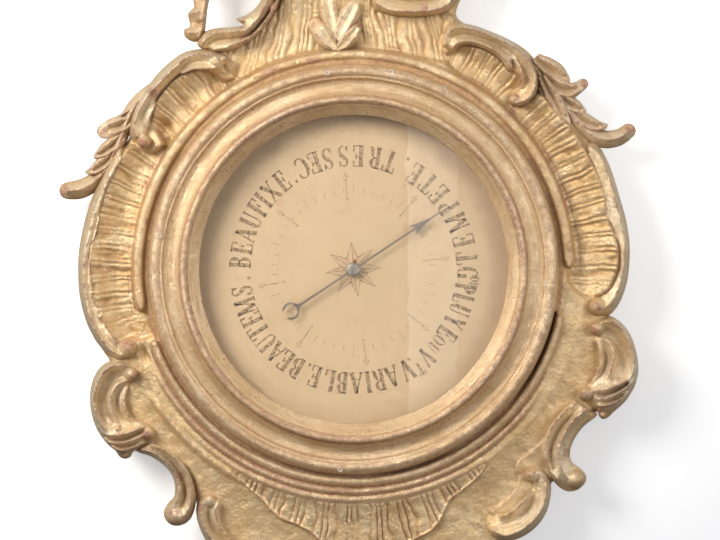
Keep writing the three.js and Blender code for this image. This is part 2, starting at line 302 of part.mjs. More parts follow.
// Front bridge on two pillars, with the cock of the pointer arbor.
const PA = [-36, 26], PB = [36, -26];
const dir = Math.atan2(PB[1] - PA[1], PB[0] - PA[0]);
const barPts = [[-50, -5], [50, -5], [50, 5], [-50, 5]].map(([u, v]) => [u * Math.cos(dir) - v * Math.sin(dir), u * Math.sin(dir) + v * Math.cos(dir)]);
let front = solid(plate(barPts, 29.2, 30.7)).add(screwTool(PA[0], PA[1], 3, 4.4, 30, 12)).add(screwTool(PB[0], PB[1], 3, 4.4, 30, 12))
  .add(solid(box(-11, -8.4, 22.6, 30, 4, 9))).add(solid(box(-11, 2.5, 22.4, 23.8, -2, 9)))
  .subtract(solid(disc(1.15, 23.0, 40, 12)));
add("arbor_bridge", front, brass());
add("pointer_arbor", turned([[0, 23.4], [0.75, 23.4], [0.75, 26.0], [DRUM_R, 26.0], [DRUM_R, 28.2], [0.75, 28.2], [0.75, 43.2], [0, 43.2]], 12), steel());
// Hairspring: a flat spiral from near the arbor to a stud under the front bridge.
{
  const inner = [], outer = [], turns = 3, n = 60;
  for (let i = 0; i <= n; i++) {
    const t = (i / n) * turns * 2 * Math.PI, r = 2.0 + 5.0 * (i / n);
    inner.push([(r - 0.2) * Math.cos(t), (r - 0.2) * Math.sin(t)]);
    outer.push([(r + 0.2) * Math.cos(t), (r + 0.2) * Math.sin(t)]);
  }
  add("hairspring", plate([...inner, ...outer.reverse()], 28.3, 28.8), steel(0x4d5a78));
}

// ---- hand ---------------------------------------------------------------
// Drawn pointing up, then turned clockwise to the rest angle.
const turnHand = (pts) => {
  const a = -HAND_ANGLE * Math.PI / 180;
  return pts.map(([x, z]) => [x * Math.cos(a) - z * Math.sin(a), x * Math.sin(a) + z * Math.cos(a)]);
};
const arc = (r, a0, a1, n, x = 0, z = 0) => Array.from({ length: n + 1 }, (_, i) => {
  const t = (a0 + (a1 - a0) * i / n) * Math.PI / 180;
  return [x + r * Math.cos(t), z + r * Math.sin(t)];
});
const CRES = -67.5;        // centre of the counterweight crescent along the hand
const handOutline = [
  ...arc(6.3, 80, -80, 6), [0.9, -7], [1.1, -57], [2.6, -60.4],
  ...arc(7.9, 62, -60, 8, 0, CRES).slice(0), ...arc(5.3, -45, 45, 4, 0.0, CRES + 0.2), [0.2, CRES + 4.9],
  ...arc(5.3, 135, 225, 4, 0.0, CRES + 0.2), ...arc(7.9, 240, 118, 8, 0, CRES),
  [-2.6, -60.4], [-1.1, -57], [-0.9, -7], ...arc(6.3, 260, 100, 6), [-0.9, 8], [-0.9, 62], [-1.6, 68], [-6.6, 62.0], [-1.4, 80.5], [-0.55, 84],
  [-0.3, HAND_TIP], [0.3, HAND_TIP], [0.55, 84], [1.4, 80.5], [6.6, 62.0], [1.6, 68], [0.9, 62], [0.9, 8],
];
add("hand", plate(turnHand(handOutline), HAND_H, HAND_H + HAND_T, [turnHand(circle(2.7, 12))]), steel(0x5d6470));
add("hand_collet", ring([[1.05, 38.0], [2.3, 38.0], [2.3, 42.6], [1.05, 42.6]], 14), steel(0x8c8f95));

// ---- hanging fittings ----------------------------------------------------
// Plate across the pocket with a staple, and a free ring that hangs from it.
const PLATE_H = 7.0;       // back face of the plate above the back plane
let hangPlate = solid(plate([[HANG_X - 20, HANG_Z - 6], [HANG_X + 20, HANG_Z - 6], [HANG_X + 20, HANG_Z + 6], [HANG_X - 20, HANG_Z + 6]], PLATE_H, 8.7));
hangPlate = hangPlate
  .add(solid(box(HANG_X - 8.4, HANG_X - 5.6, 0.8, PLATE_H + 0.5, HANG_Z - 2.6, HANG_Z + 2.6)))
  .add(solid(box(HANG_X + 5.6, HANG_X + 8.4, 0.8, PLATE_H + 0.5, HANG_Z - 2.6, HANG_Z + 2.6)))
  .subtract(solid((() => { const g = new THREE.CylinderGeometry(1.45, 1.45, 60, 14); g.rotateZ(Math.PI / 2); g.translate(HANG_X, -3.4, HANG_Z); return g; })()));
for (const [x, z] of hangScrews) hangPlate = hangPlate.subtract(screwTool(x, z, 1.9, 5, 10));
add("hanger_plate", hangPlate, iron());
hangScrews.forEach(([x, z], i) => add(`hanger_screw_${i + 1}`,
  turned([[0, 5.6], [2.4, 5.7], [3.4, 6.7], [1.3, 6.7], [1.3, 22], [0, 24]], 12, x, z), iron()));
// The ring is a loop of wire with a straight bar through the staple.
{
  const pts = [], R = 16.5, wr = 1.15;
  const loop = [];
  // D-shaped loop: bar through the ears, then a round bow below it
  const c = -20;
  const steps = 20;
  const a0 = Math.acos(0.62), start = [12.6, 0];
  const ctrl = [[-12.6, 0], [12.6, 0]];
  const bow = [];
  for (let i = 0; i <= steps; i++) {
    const t = THREE.MathUtils.degToRad(50 - (280 * i) / steps);
    bow.push(new THREE.Vector3(HANG_X + R * Math.cos(t), -3.4, HANG_Z + c + R * Math.sin(t)));
  }
  const path = [new THREE.Vector3(HANG_X, -3.4, HANG_Z), new THREE.Vector3(HANG_X + 9.4, -3.4, HANG_Z), new THREE.Vector3(HANG_X + 11.4, -3.4, HANG_Z - 1.4), ...bow,
    new THREE.Vector3(HANG_X - 11.4, -3.4, HANG_Z - 1.4), new THREE.Vector3(HANG_X - 9.4, -3.4, HANG_Z)];
  // closed sweep of an eight-sided section along the loop, built ring by ring
  const curve = new THREE.CatmullRomCurve3(path, true, "catmullrom", 0.3);
  const N = 44, S = 8, pos = [], idx = [];
  for (let i = 0; i < N; i++) {
    const p = curve.getPointAt(i / N), tan = curve.getTangentAt(i / N);
    const up = new THREE.Vector3(0, 1, 0), side = new THREE.Vector3().crossVectors(tan, up).normalize();
    for (let k = 0; k < S; k++) {
      const q = (2 * Math.PI * k) / S;
      pos.push(p.x + wr * (Math.cos(q) * side.x), p.y + wr * Math.sin(q), p.z + wr * (Math.cos(q) * side.z));
    }
  }
  for (let i = 0; i < N; i++) for (let k = 0; k < S; k++) {
    const a = i * S + k, b = i * S + (k + 1) % S, d = ((i + 1) % N) * S + k, e = ((i + 1) % N) * S + (k + 1) % S;
    idx.push(a, b, d, b, e, d);
  }
  const g = new THREE.BufferGeometry();
  g.setAttribute("position", new THREE.BufferAttribute(new Float32Array(pos), 3));
  g.setIndex(idx);
  add("hanging_ring", g, iron());
}

export default assembly;
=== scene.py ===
import json
import math

import bpy
import numpy as np
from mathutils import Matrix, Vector

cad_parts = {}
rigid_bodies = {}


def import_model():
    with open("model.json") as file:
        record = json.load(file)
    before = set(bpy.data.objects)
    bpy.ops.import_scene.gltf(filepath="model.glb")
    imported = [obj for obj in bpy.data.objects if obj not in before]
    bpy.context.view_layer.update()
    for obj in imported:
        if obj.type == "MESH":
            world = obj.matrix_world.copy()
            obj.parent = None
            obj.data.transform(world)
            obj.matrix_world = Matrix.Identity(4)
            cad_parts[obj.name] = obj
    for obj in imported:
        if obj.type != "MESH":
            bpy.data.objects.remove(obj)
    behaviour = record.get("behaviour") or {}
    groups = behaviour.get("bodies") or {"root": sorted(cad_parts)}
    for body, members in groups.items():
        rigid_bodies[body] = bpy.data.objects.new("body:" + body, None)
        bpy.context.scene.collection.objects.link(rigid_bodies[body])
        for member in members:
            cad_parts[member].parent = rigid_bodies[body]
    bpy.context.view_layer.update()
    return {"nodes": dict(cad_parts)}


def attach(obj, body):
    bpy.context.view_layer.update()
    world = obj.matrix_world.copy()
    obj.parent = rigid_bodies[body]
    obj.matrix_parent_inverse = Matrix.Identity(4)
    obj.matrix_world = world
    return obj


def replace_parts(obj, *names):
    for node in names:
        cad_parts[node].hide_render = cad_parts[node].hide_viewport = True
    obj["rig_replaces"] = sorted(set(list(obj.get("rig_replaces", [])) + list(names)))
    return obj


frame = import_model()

SCENE = bpy.context.scene

# ---------------------------------------------------------------- camera and plan units
# Plan units (u to the right, v down) are set out on a sheet seen from the camera's place, so a point at height h above
# the back plane lies at X = XC + (u - 360)(D - h)/F, Z = ZC + (270 - v)(D - h)/F, in millimetres.
D, F, XC, ZC = 1600.0, 1733.333, 5.85, -0.45
CU, CV = 353.5, 269.5  # the dial axis in plan units

cam_data = bpy.data.cameras.new("camera")
cam_data.sensor_width = 36.0
cam_data.lens = F / 720.0 * 36.0
cam = bpy.data.objects.new("camera", cam_data)
cam.location = (XC / 1000, -D / 1000, ZC / 1000)
cam.rotation_euler = (math.radians(90), 0, 0)
SCENE.collection.objects.link(cam)
SCENE.camera = cam


def world(u, v, h):
    u, v, h = (np.asarray(a, float) for a in np.broadcast_arrays(u, v, h))
    k = (D - h) / F
    return np.stack([(XC + (u - 360) * k), -h, (ZC + (270 - v) * k)], -1) * 0.001


# ---------------------------------------------------------------- curves, distances and noise
def curve(pts, closed=False, step=1.0):
    """Catmull-Rom curve through the points, sampled about every step. Extra columns are carried along."""
    P = np.asarray(pts, float)
    n = len(P)
    if n == 2:
        m = max(2, int(np.hypot(*(P[1, :2] - P[0, :2])) / step) + 1)
        t = np.linspace(0, 1, m)[:, None]
        return P[0] * (1 - t) + P[1] * t
    out = []
    for i in range(n if closed else n - 1):
        if closed:
            a, b, c, d = P[(i - 1) % n], P[i], P[(i + 1) % n], P[(i + 2) % n]
        else:
            b, c = P[i], P[i + 1]
            a = P[i - 1] if i else 2 * b - c
            d = P[i + 2] if i + 2 < n else 2 * c - b
        m = max(1, int(round(np.hypot(*(c[:2] - b[:2])) / step)))
        t = (np.arange(m) / m)[:, None]
        out.append(0.5 * (2 * b + (c - a) * t + (2 * a - 5 * b + 4 * c - d) * t**2 + (3 * b - a - 3 * c + d) * t**3))
    if not closed:
        out.append(P[-1:])
    return np.concatenate(out)


def dist(U, V, C, closed=False):
    """Distance from every (U, V) to the polyline C, and the interpolated extra columns there."""
    best = np.full(U.shape, 1e9)
    extra = np.zeros(U.shape + (max(C.shape[1] - 2, 1),))
    n = len(C)
    for i in range(n if closed else n - 1):
        a, b = C[i], C[(i + 1) % n]
        dx, dy = b[0] - a[0], b[1] - a[1]
        L = dx * dx + dy * dy + 1e-12
        t = np.clip(((U - a[0]) * dx + (V - a[1]) * dy) / L, 0, 1)
        q = (U - a[0] - t * dx) ** 2 + (V - a[1] - t * dy) ** 2
        m = q < best
        best = np.where(m, q, best)
        if C.shape[1] > 2:
            e = a[2:] + t[..., None] * (b[2:] - a[2:])
            extra = np.where(m[..., None], e, extra)
    return np.sqrt(best), extra


def inside(U, V, C):
    m = np.zeros(U.shape, bool)
    n = len(C)
    for i in range(n):
        (x1, y1), (x2, y2) = C[i, :2], C[(i + 1) % n, :2]
        if y1 == y2:
            continue
        m ^= ((y1 > V) != (y2 > V)) & (U < (x2 - x1) * (V - y1) / (y2 - y1) + x1)
    return m


def noise(U, V, scale, seed):
    """Smooth value noise in [-1, 1] with features about `scale` plan units wide."""
    g = np.random.default_rng(seed).uniform(-1, 1, (97, 97))
    x, y = U / scale + 31.7, V / scale + 57.3
    i, j = np.floor(x).astype(int), np.floor(y).astype(int)
    fx, fy = x - i, y - j
    fx, fy = fx * fx * (3 - 2 * fx), fy * fy * (3 - 2 * fy)
    w = lambda a, b: g[a % 97, b % 97]
    return (w(i, j) * (1 - fx) + w(i + 1, j) * fx) * (1 - fy) + (w(i, j + 1) * (1 - fx) + w(i + 1, j + 1) * fx) * fy


def smoothstep(a, b, x):
    t = np.clip((x - a) / (b - a), 0, 1)
    return t * t * (3 - 2 * t)


def blur(H, n=1):
    for _ in range(n):
        P = np.pad(H, 1, mode="edge")
        H = (4 * P[1:-1, 1:-1] + 2 * (P[:-2, 1:-1] + P[2:, 1:-1] + P[1:-1, :-2] + P[1:-1, 2:])
             + P[:-2, :-2] + P[2:, 2:] + P[:-2, 2:] + P[2:, :-2]) / 16
    return H


# ---------------------------------------------------------------- meshes
def make_object(name, verts, faces, mat, smooth_angle=50, attrs=None, smooth=True):
    me = bpy.data.meshes.new(name)
    verts = np.asarray(verts, np.float32)
    if isinstance(faces, np.ndarray):
        k = faces.shape[1]
        me.vertices.add(len(verts))
        me.vertices.foreach_set("co", verts.ravel())
        me.loops.add(faces.size)
        me.loops.foreach_set("vertex_index", faces.astype(np.int32).ravel())
        me.polygons.add(len(faces))
        me.polygons.foreach_set("loop_start", np.arange(0, faces.size, k, dtype=np.int32))
        me.update(calc_edges=True)
    else:
        me.from_pydata([tuple(map(float, v)) for v in verts], [], faces)
    for key, val in (attrs or {}).items():
        at = me.attributes.new(key, "FLOAT", "POINT")
        at.data.foreach_set("value", np.asarray(val, np.float32))
    me.validate()
    if smooth:
        me.polygons.foreach_set("use_smooth", np.ones(len(me.polygons), bool))
        if smooth_angle:
            me.set_sharp_from_angle(angle=math.radians(smooth_angle))
    ob = bpy.data.objects.new(name, me)
    SCENE.collection.objects.link(ob)
    me.materials.append(mat)
    return ob


def grid_solid(name, U, V, keep, top, bot, outlines, mat, edge=None, under=1.2, attrs=None, smooth_angle=62):
    """Closed solid over the kept cells of a plan grid. The rim is drawn onto the outline, and the underside is set in by `under`."""
    ny, nx = U.shape
    used = np.zeros((ny, nx), bool)
    used[:-1, :-1] |= keep; used[1:, :-1] |= keep; used[:-1, 1:] |= keep; used[1:, 1:] |= keep
    idx = -np.ones((ny, nx), int)
    idx[used] = np.arange(used.sum())
    N = int(used.sum())
    a, b, c, d = idx[:-1, :-1][keep], idx[:-1, 1:][keep], idx[1:, 1:][keep], idx[1:, :-1][keep]
    K = np.pad(keep, 1)
    jj, ii = np.nonzero(keep)
    def rim(dj, di, p, q):
        m = ~K[jj + 1 + dj, ii + 1 + di]
        return np.stack([idx[jj[m] + p[0], ii[m] + p[1]], idx[jj[m] + q[0], ii[m] + q[1]]], 1)
    # directed rim edges follow the cell order a -> d -> c -> b
    E = np.concatenate([rim(-1, 0, (0, 1), (0, 0)), rim(0, -1, (0, 0), (1, 0)), rim(1, 0, (1, 0), (1, 1)), rim(0, 1, (1, 1), (0, 1))])
    u, v = U[used].copy(), V[used].copy()
    t, w = top[used].copy(), bot[used].copy()
    R = np.unique(E)
    P = np.concatenate([c2 for c2 in outlines]); 
    nxt = np.concatenate([np.roll(c2, -1, 0) for c2 in outlines])
    nrm = np.concatenate([_inward(c2) for c2 in outlines])
    bu, bv = u[R], v[R]
    best = np.full(len(R), 1e9); pu, pv = bu.copy(), bv.copy(); nu, nv = np.zeros(len(R)), np.zeros(len(R))
    for k in range(len(P)):
        dx, dy = nxt[k, 0] - P[k, 0], nxt[k, 1] - P[k, 1]
        L = dx * dx + dy * dy + 1e-12
        s = np.clip(((bu - P[k, 0]) * dx + (bv - P[k, 1]) * dy) / L, 0, 1)
        x, y = P[k, 0] + s * dx, P[k, 1] + s * dy
        q = (bu - x) ** 2 + (bv - y) ** 2
        m = q < best
        best = np.where(m, q, best); pu = np.where(m, x, pu); pv = np.where(m, y, pv)
        nu = np.where(m, nrm[k, 0], nu); nv = np.where(m, nrm[k, 1], nv)
    u[R], v[R] = pu, pv
    if edge is not None:
        t[R] = edge if np.isscalar(edge) else edge[used][R]
    ub, vb = u.copy(), v.copy()
    ub[R] += nu * under; vb[R] += nv * under
    w = np.minimum(w, t - 0.3)
    verts = np.concatenate([world(u, v, t), world(ub, vb, w)])
    faces = np.concatenate([np.stack([a, d, c, b], 1), np.stack([a, b, c, d], 1) + N,
                            np.stack([E[:, 1], E[:, 0], E[:, 0] + N, E[:, 1] + N], 1)])
    at = {k: np.concatenate([val[used], val[used]]) for k, val in (attrs or {}).items()}
    return make_object(name, verts, faces, mat, smooth_angle, at)


def _inward(C):
    A = 0.5 * np.sum(C[:, 0] * np.roll(C[:, 1], -1) - np.roll(C[:, 0], -1) * C[:, 1])
    T = np.roll(C, -1, 0)[:, :2] - np.roll(C, 1, 0)[:, :2]
    T /= np.linalg.norm(T, axis=1)[:, None] + 1e-9
    s = 1 if A > 0 else -1
    return np.stack([-T[:, 1] * s, T[:, 0] * s], 1)


def lathe(name, prof, mat, n=256, attrs=None, off=None, jitter=0.0, closed=True, cu=0.0, cz=0.0, seed=1):
    """Turned solid about an axis through (cu, cz) mm from a closed (r mm, h mm) profile."""
    P = np.asarray(prof, float)
    m = len(P)
    th = np.arange(n) / n * 2 * np.pi
    R, T = np.meshgrid(P[:, 0], th)
    H = np.broadcast_to(P[:, 1], R.shape).copy()
    if jitter:
        H = H + jitter * noise(R * np.cos(T) + 400, R * np.sin(T) + 400, 9, seed) + 0.5 * jitter * noise(R * np.cos(T) + 400, R * np.sin(T) + 400, 3, seed + 1)
    ox, oz = (off(R, T) if off else (0, 0))
    X, Z = cu + ox + R * np.sin(T), cz + oz + R * np.cos(T)
    verts = np.stack([X, -H, Z], -1).reshape(-1, 3) * 0.001
    i, j = np.meshgrid(np.arange(n), np.arange(m if closed else m - 1), indexing="ij")
    f = np.stack([i * m + j, i * m + (j + 1) % m, ((i + 1) % n) * m + (j + 1) % m, ((i + 1) % n) * m + j], -1).reshape(-1, 4)
    A = 0.5 * np.sum(P[:, 0] * np.roll(P[:, 1], -1) - np.roll(P[:, 0], -1) * P[:, 1])
    if A < 0:
        f = f[:, ::-1]
    at = {k: fn(R, T).ravel() for k, fn in (attrs or {}).items()}
    return make_object(name, verts, f, mat, 55, at)


def spindle(name, prof, mat, n=24, cx=0.0, cz=0.0):
    """Turned solid from an open (r, h) profile that starts and ends on the axis (r = 0)."""
    P = list(prof)
    verts, faces = [], []
    rings = []
    for r, h in P:
        if r < 1e-6:
            rings.append([len(verts)]); verts.append((cx, -h, cz))
        else:
            rings.append(list(range(len(verts), len(verts) + n)))
            verts += [(cx + r * math.sin(2 * math.pi * k / n), -h, cz + r * math.cos(2 * math.pi * k / n)) for k in range(n)]
    for A, B in zip(rings, rings[1:]):
        for k in range(n):
            a, b = A[k % len(A)], A[(k + 1) % len(A)]
            c, d = B[(k + 1) % len(B)], B[k % len(B)]
            f = [x for i, x in enumerate((a, b, c, d)) if x not in (a, b, c, d)[:i]]
            if len(f) > 2:
                faces.append(f)
    if P[0][1] > P[-1][1]:
        faces = [f[::-1] for f in faces]
    ob = make_object(name, np.array(verts) * 0.001, faces, mat, 40)
    import bmesh
    bm = bmesh.new(); bm.from_mesh(ob.data); bmesh.ops.recalc_face_normals(bm, faces=bm.faces); bm.to_mesh(ob.data); bm.free()
    return ob


# ---------------------------------------------------------------- materials
def mat_new(name):
    m = bpy.data.materials.new(name)
    m.use_nodes = True
    nt = m.node_tree
    bsdf = nt.nodes["Principled BSDF"]
    return m, nt, bsdf


class N:
    def __init__(self, nt):
        self.nt = nt
    def node(self, kind, **kw):
        n = self.nt.nodes.new(kind)
        for k, v in kw.items():
            if k.startswith("i_"):
                n.inputs[k[2:].replace("_", " ")].default_value = v
            else:
                setattr(n, k, v)
        return n
    def link(self, a, b):
        self.nt.links.new(a, b)
    def noise(self, vec, scale, detail=3, rough=0.55, out="Fac"):
        n = self.node("ShaderNodeTexNoise"); n.inputs["Scale"].default_value = scale
        n.inputs["Detail"].default_value = detail; n.inputs["Roughness"].default_value = rough
        self.link(vec, n.inputs["Vector"]); return n.outputs[out]
    def ramp(self, fac, stops, interp="LINEAR"):
        n = self.node("ShaderNodeValToRGB"); n.color_ramp.interpolation = interp
        e = n.color_ramp.elements
        e[0].position, e[1].position = stops[0][0], stops[-1][0]
        for p, _ in stops[1:-1]:
            e.new(p)
        for el, (p, c) in zip(e, stops):
            el.position = p
            el.color = (*c, 1) if isinstance(c, (tuple, list)) else (c, c, c, 1)
        self.link(fac, n.inputs["Fac"]); return n.outputs["Color"]
    def mix(self, fac, a, b, mode="MIX"):
        n = self.node("ShaderNodeMix", data_type="RGBA", blend_type=mode)
        for s, x in ((n.inputs["Factor"], fac), (n.inputs["A"], a), (n.inputs["B"], b)):
            self._set(s, x)
        for s, x in zip([i for i in n.inputs if i.type == "RGBA"], (a, b)):
            self._set(s, x)
        return [o for o in n.outputs if o.type == "RGBA"][0]
    def _set(self, s, x):
        if isinstance(x, bpy.types.NodeSocket):
            self.link(x, s)
        elif isinstance(x, (tuple, list)):
            if s.type == "RGBA":
                s.default_value = (*x, 1) if len(x) == 3 else x
        elif s.type == "VALUE":
            s.default_value = x
    def math(self, op, a, b=0.0, clamp=False):
        n = self.node("ShaderNodeMath", operation=op, use_clamp=clamp)
        self._set(n.inputs[0], a); self._set(n.inputs[1], b); return n.outputs[0]
    def attr(self, name):
        return self.node("ShaderNodeAttribute", attribute_name=name).outputs["Fac"]
    def coord(self, scale=None):
        o = self.node("ShaderNodeTexCoord").outputs["Object"]
        if scale:
            mp = self.node("ShaderNodeMapping"); mp.inputs["Scale"].default_value = scale
            self.link(o, mp.inputs["Vector"]); return mp.outputs["Vector"]
        return o


def gilt(name, gold=(0.74, 0.555, 0.325), pale=(0.86, 0.715, 0.49), ochre=(0.62, 0.40, 0.165), rough=0.40, metal=0.74,
         wear=1.0, dirt_and_shade=1.0, bump=1.0, glaze=1.0, turned=0.0):
    m, nt, b = mat_new(name)
    n = N(nt)
    co = n.coord()
    big = n.noise(co, 26, 4)
    mid = n.noise(co, 95, 6, 0.65)
    small = n.noise(co, 310, 5, 0.65)
    fine = n.noise(co, 800, 4, 0.65)
    col = n.mix(n.ramp(big, [(0.36, 0.0), (0.66, 1.0)]), gold, pale)
    # toning: an uneven brown glaze, thicker in patches
    tone = n.math("MULTIPLY", n.ramp(mid, [(0.42, 0.0), (0.70, 1.0)]), n.ramp(small, [(0.30, 0.35), (0.65, 1.0)]))
    col = n.mix(n.math("MULTIPLY", tone, 0.62 * glaze, True), col, tuple(g * k for g, k in zip(gold, (0.62, 0.55, 0.46))))
    col = n.mix(n.math("MULTIPLY", n.attr("tone"), 0.55, True), col, tuple(g * k for g, k in zip(gold, (0.66, 0.56, 0.46))))
    col = n.mix(n.attr("ochre"), col, ochre)
    tl = None
    if turned:  # fine lines left by turning and by rubbing round the ring
        sp = n.node("ShaderNodeSeparateXYZ"); n.link(co, sp.inputs[0])
        rr = n.math("SQRT", n.math("ADD", n.math("MULTIPLY", sp.outputs["X"], sp.outputs["X"]), n.math("MULTIPLY", sp.outputs["Z"], sp.outputs["Z"])))
        cb = n.node("ShaderNodeCombineXYZ")
        n.link(rr, cb.inputs[0])
        n.link(n.math("MULTIPLY", n.math("DIVIDE", sp.outputs["X"], rr), 0.012), cb.inputs[1])
        n.link(n.math("MULTIPLY", n.math("DIVIDE", sp.outputs["Z"], rr), 0.012), cb.inputs[2])
        tl = n.noise(cb.outputs[0], 620, 5, 0.7)
        col = n.mix(n.math("MULTIPLY", n.ramp(tl, [(0.50, 0.0), (0.66, 1.0)]), 0.5 * turned, True), col, tuple(g * k for g, k in zip(gold, (0.55, 0.45, 0.34))))
    # ambient occlusion darkens the hollows brown: painted shade mixed with grime
    aon = n.node("ShaderNodeAmbientOcclusion", samples=6)
    aon.inputs["Distance"].default_value = 0.011
    ao_dirt_shade = n.ramp(aon.outputs["AO"], [(0.16, 1.0), (0.74, 0.0)])
    ao_dirt_shade = n.math("MULTIPLY", ao_dirt_shade, n.ramp(small, [(0.30, 0.60), (0.62, 1.0)]))
    col = n.mix(n.math("MULTIPLY", ao_dirt_shade, 0.86 * dirt_and_shade, True), col, (0.215, 0.125, 0.058))
    geo = n.node("ShaderNodeNewGeometry")
    # concave creases are darkened brown as painted shade mixed with grime, ridges are rubbed to the red bole and here
    # and there to the pale gesso
    low = n.math("MULTIPLY", n.ramp(geo.outputs["Pointiness"], [(0.40, 1.0), (0.488, 0.0)]), n.ramp(small, [(0.35, 0.5), (0.6, 1.0)]))
    col = n.mix(n.math("MULTIPLY", low, 0.72 * dirt_and_shade, True), col, (0.26, 0.145, 0.07))
    edge = n.math("MULTIPLY", n.ramp(geo.outputs["Pointiness"], [(0.504, 0.0), (0.552, 1.0)]), n.ramp(n.noise(co, 170, 6, 0.75), [(0.46, 0.0), (0.57, 1.0)]))
    col = n.mix(n.math("MULTIPLY", edge, 0.80 * wear, True), col, (0.345, 0.175, 0.115))
    hot = n.math("MULTIPLY", n.ramp(geo.outputs["Pointiness"], [(0.512, 0.0), (0.59, 1.0)]), n.ramp(n.noise(co, 420, 4, 0.6), [(0.55, 0.0), (0.64, 1.0)]))
    col = n.mix(n.math("MULTIPLY", hot, 0.60 * wear, True), col, (0.84, 0.74, 0.64))
    bo = n.math("MULTIPLY", n.ramp(n.attr("bole"), [(0.05, 0.0), (0.75, 1.0)]), n.ramp(n.noise(co, 230, 6, 0.8), [(0.40, 0.0), (0.54, 1.0)]))
    col = n.mix(n.math("MULTIPLY", bo, 1.0, True), col, n.mix(n.ramp(n.noise(co, 520, 4, 0.7), [(0.42, 0.0), (0.60, 1.0)]), (0.34, 0.125, 0.07), (0.52, 0.33, 0.24)))
    # fly spots and pinholes
    spots = n.ramp(n.noise(co, 1050, 2, 0.5), [(0.64, 0.0), (0.70, 1.0)])
    spots2 = n.ramp(n.noise(co, 420, 2, 0.5), [(0.675, 0.0), (0.715, 1.0)])
    dark = n.math("MAXIMUM", n.math("MULTIPLY", spots, 0.42), n.math("MULTIPLY", spots2, 0.5))
    col = n.mix(dark, col, (0.15, 0.09, 0.045))
    n.link(col, b.inputs["Base Color"])
    r = n.math("ADD", n.math("MULTIPLY", n.ramp(mid, [(0.36, 0.0), (0.62, 1.0)]), 0.24), rough - 0.16)
    r = n.math("ADD", r, n.math("MULTIPLY", n.attr("matte"), 0.16))
    r = n.math("ADD", r, n.math("MULTIPLY", ao_dirt_shade, 0.22))
    n.link(n.math("ADD", r, n.math("MULTIPLY", small, 0.10), True), b.inputs["Roughness"])
    mt = n.math("SUBTRACT", metal, n.math("MULTIPLY", n.math("ADD", bo, n.math("ADD", edge, ao_dirt_shade), True), 0.5), True)
    n.link(mt, b.inputs["Metallic"])
    b.inputs["Specular IOR Level"].default_value = 0.4
    # surface: brushed gesso, fine craquelure, dents
    vor = n.node("ShaderNodeTexVoronoi", feature="DISTANCE_TO_EDGE"); vor.inputs["Scale"].default_value = 170
    n.link(co, vor.inputs["Vector"])
    crack = n.ramp(vor.outputs["Distance"], [(0.0, 0.0), (0.03, 1.0)])
    hgt = n.math("ADD", n.math("MULTIPLY", fine, 0.30), n.math("ADD", n.math("MULTIPLY", small, 0.85), n.math("ADD", n.math("MULTIPLY", mid, 1.2), n.math("MULTIPLY", crack, 0.10))))
    if tl is not None:
        hgt = n.math("ADD", hgt, n.math("MULTIPLY", tl, 1.1 * turned))
    bp = n.node("ShaderNodeBump"); bp.inputs["Strength"].default_value = min(0.66 * bump, 1.0); bp.inputs["Distance"].default_value = 0.0016
    n.link(hgt, bp.inputs["Height"]); n.link(bp.outputs["Normal"], b.inputs["Normal"])
    return m


def plain_wood(name):
    m, nt, b = mat_new(name)
    n = N(nt)
    co = n.coord((9, 9, 1.1))
    ring = n.noise(co, 9, 6, 0.62)
    fine = n.noise(n.coord((260, 260, 12)), 3, 4, 0.6)
    col = n.mix(n.ramp(ring, [(0.36, 0.0), (0.64, 1.0)]), (0.30, 0.175, 0.085), (0.44, 0.285, 0.155))
    col = n.mix(n.ramp(fine, [(0.35, 0.6), (0.65, 0.0)]), col, (0.20, 0.11, 0.055))
    col = n.mix(n.ramp(n.noise(n.coord(), 14, 4), [(0.45, 0.0), (0.75, 0.6)]), col, (0.14, 0.095, 0.06))
    n.link(col, b.inputs["Base Color"])
    n.link(n.math("ADD", n.math("MULTIPLY", fine, 0.2), 0.6), b.inputs["Roughness"])
    bp = n.node("ShaderNodeBump"); bp.inputs["Strength"].default_value = 0.5; bp.inputs["Distance"].default_value = 0.001
    n.link(n.math("ADD", fine, ring), bp.inputs["Height"]); n.link(bp.outputs["Normal"], b.inputs["Normal"])
    return m


def metal(name, base, dark, rough=0.32, scale=300, stretch=None, metallic=1.0, bump=0.2):
    m, nt, b = mat_new(name)
    n = N(nt)
    co = n.coord(stretch)
    a = n.noise(co, scale, 4, 0.6)
    g = n.noise(n.coord(), 60, 4, 0.6)
    col = n.mix(n.ramp(g, [(0.38, 0.0), (0.72, 1.0)]), base, dark)
    n.link(col, b.inputs["Base Color"])
    n.link(n.math("ADD", n.math("MULTIPLY", a, 0.22), n.math("ADD", n.math("MULTIPLY", g, 0.18), rough - 0.2), True), b.inputs["Roughness"])
    b.inputs["Metallic"].default_value = metallic
    bp = n.node("ShaderNodeBump"); bp.inputs["Strength"].default_value = bump; bp.inputs["Distance"].default_value = 0.0004
    n.link(a, bp.inputs["Height"]); n.link(bp.outputs["Normal"], b.inputs["Normal"])
    return m


GILT = gilt("gilding_burnished", gold=(0.84, 0.635, 0.375), pale=(0.95, 0.80, 0.58), rough=0.36, metal=0.54, wear=1.15, dirt_and_shade=0.85)
GILT_LEAF = gilt("gilding_leaves", gold=(0.74, 0.54, 0.33), pale=(0.88, 0.71, 0.50), rough=0.43, metal=0.42, wear=1.3, dirt_and_shade=0.85)
GILT_GROUND = gilt("gilding_ground", gold=(0.80, 0.575, 0.315), pale=(0.91, 0.72, 0.465), rough=0.31, metal=0.60, bump=1.0, dirt_and_shade=0.85)
GILT_RING = gilt("gilding_ring", gold=(0.80, 0.575, 0.335), pale=(0.90, 0.70, 0.455), rough=0.33, metal=0.50, wear=1.2, bump=0.75, glaze=0.9, turned=1.0)
WOOD = plain_wood("old_pine")
BRASS = metal("brass_aged", (0.58, 0.40, 0.16), (0.34, 0.215, 0.085), 0.34)
STEEL = metal("steel_polished", (0.50, 0.50, 0.50), (0.30, 0.29, 0.28), 0.30)
BLUED = metal("steel_blued", (0.215, 0.180, 0.152), (0.25, 0.195, 0.15), 0.46)
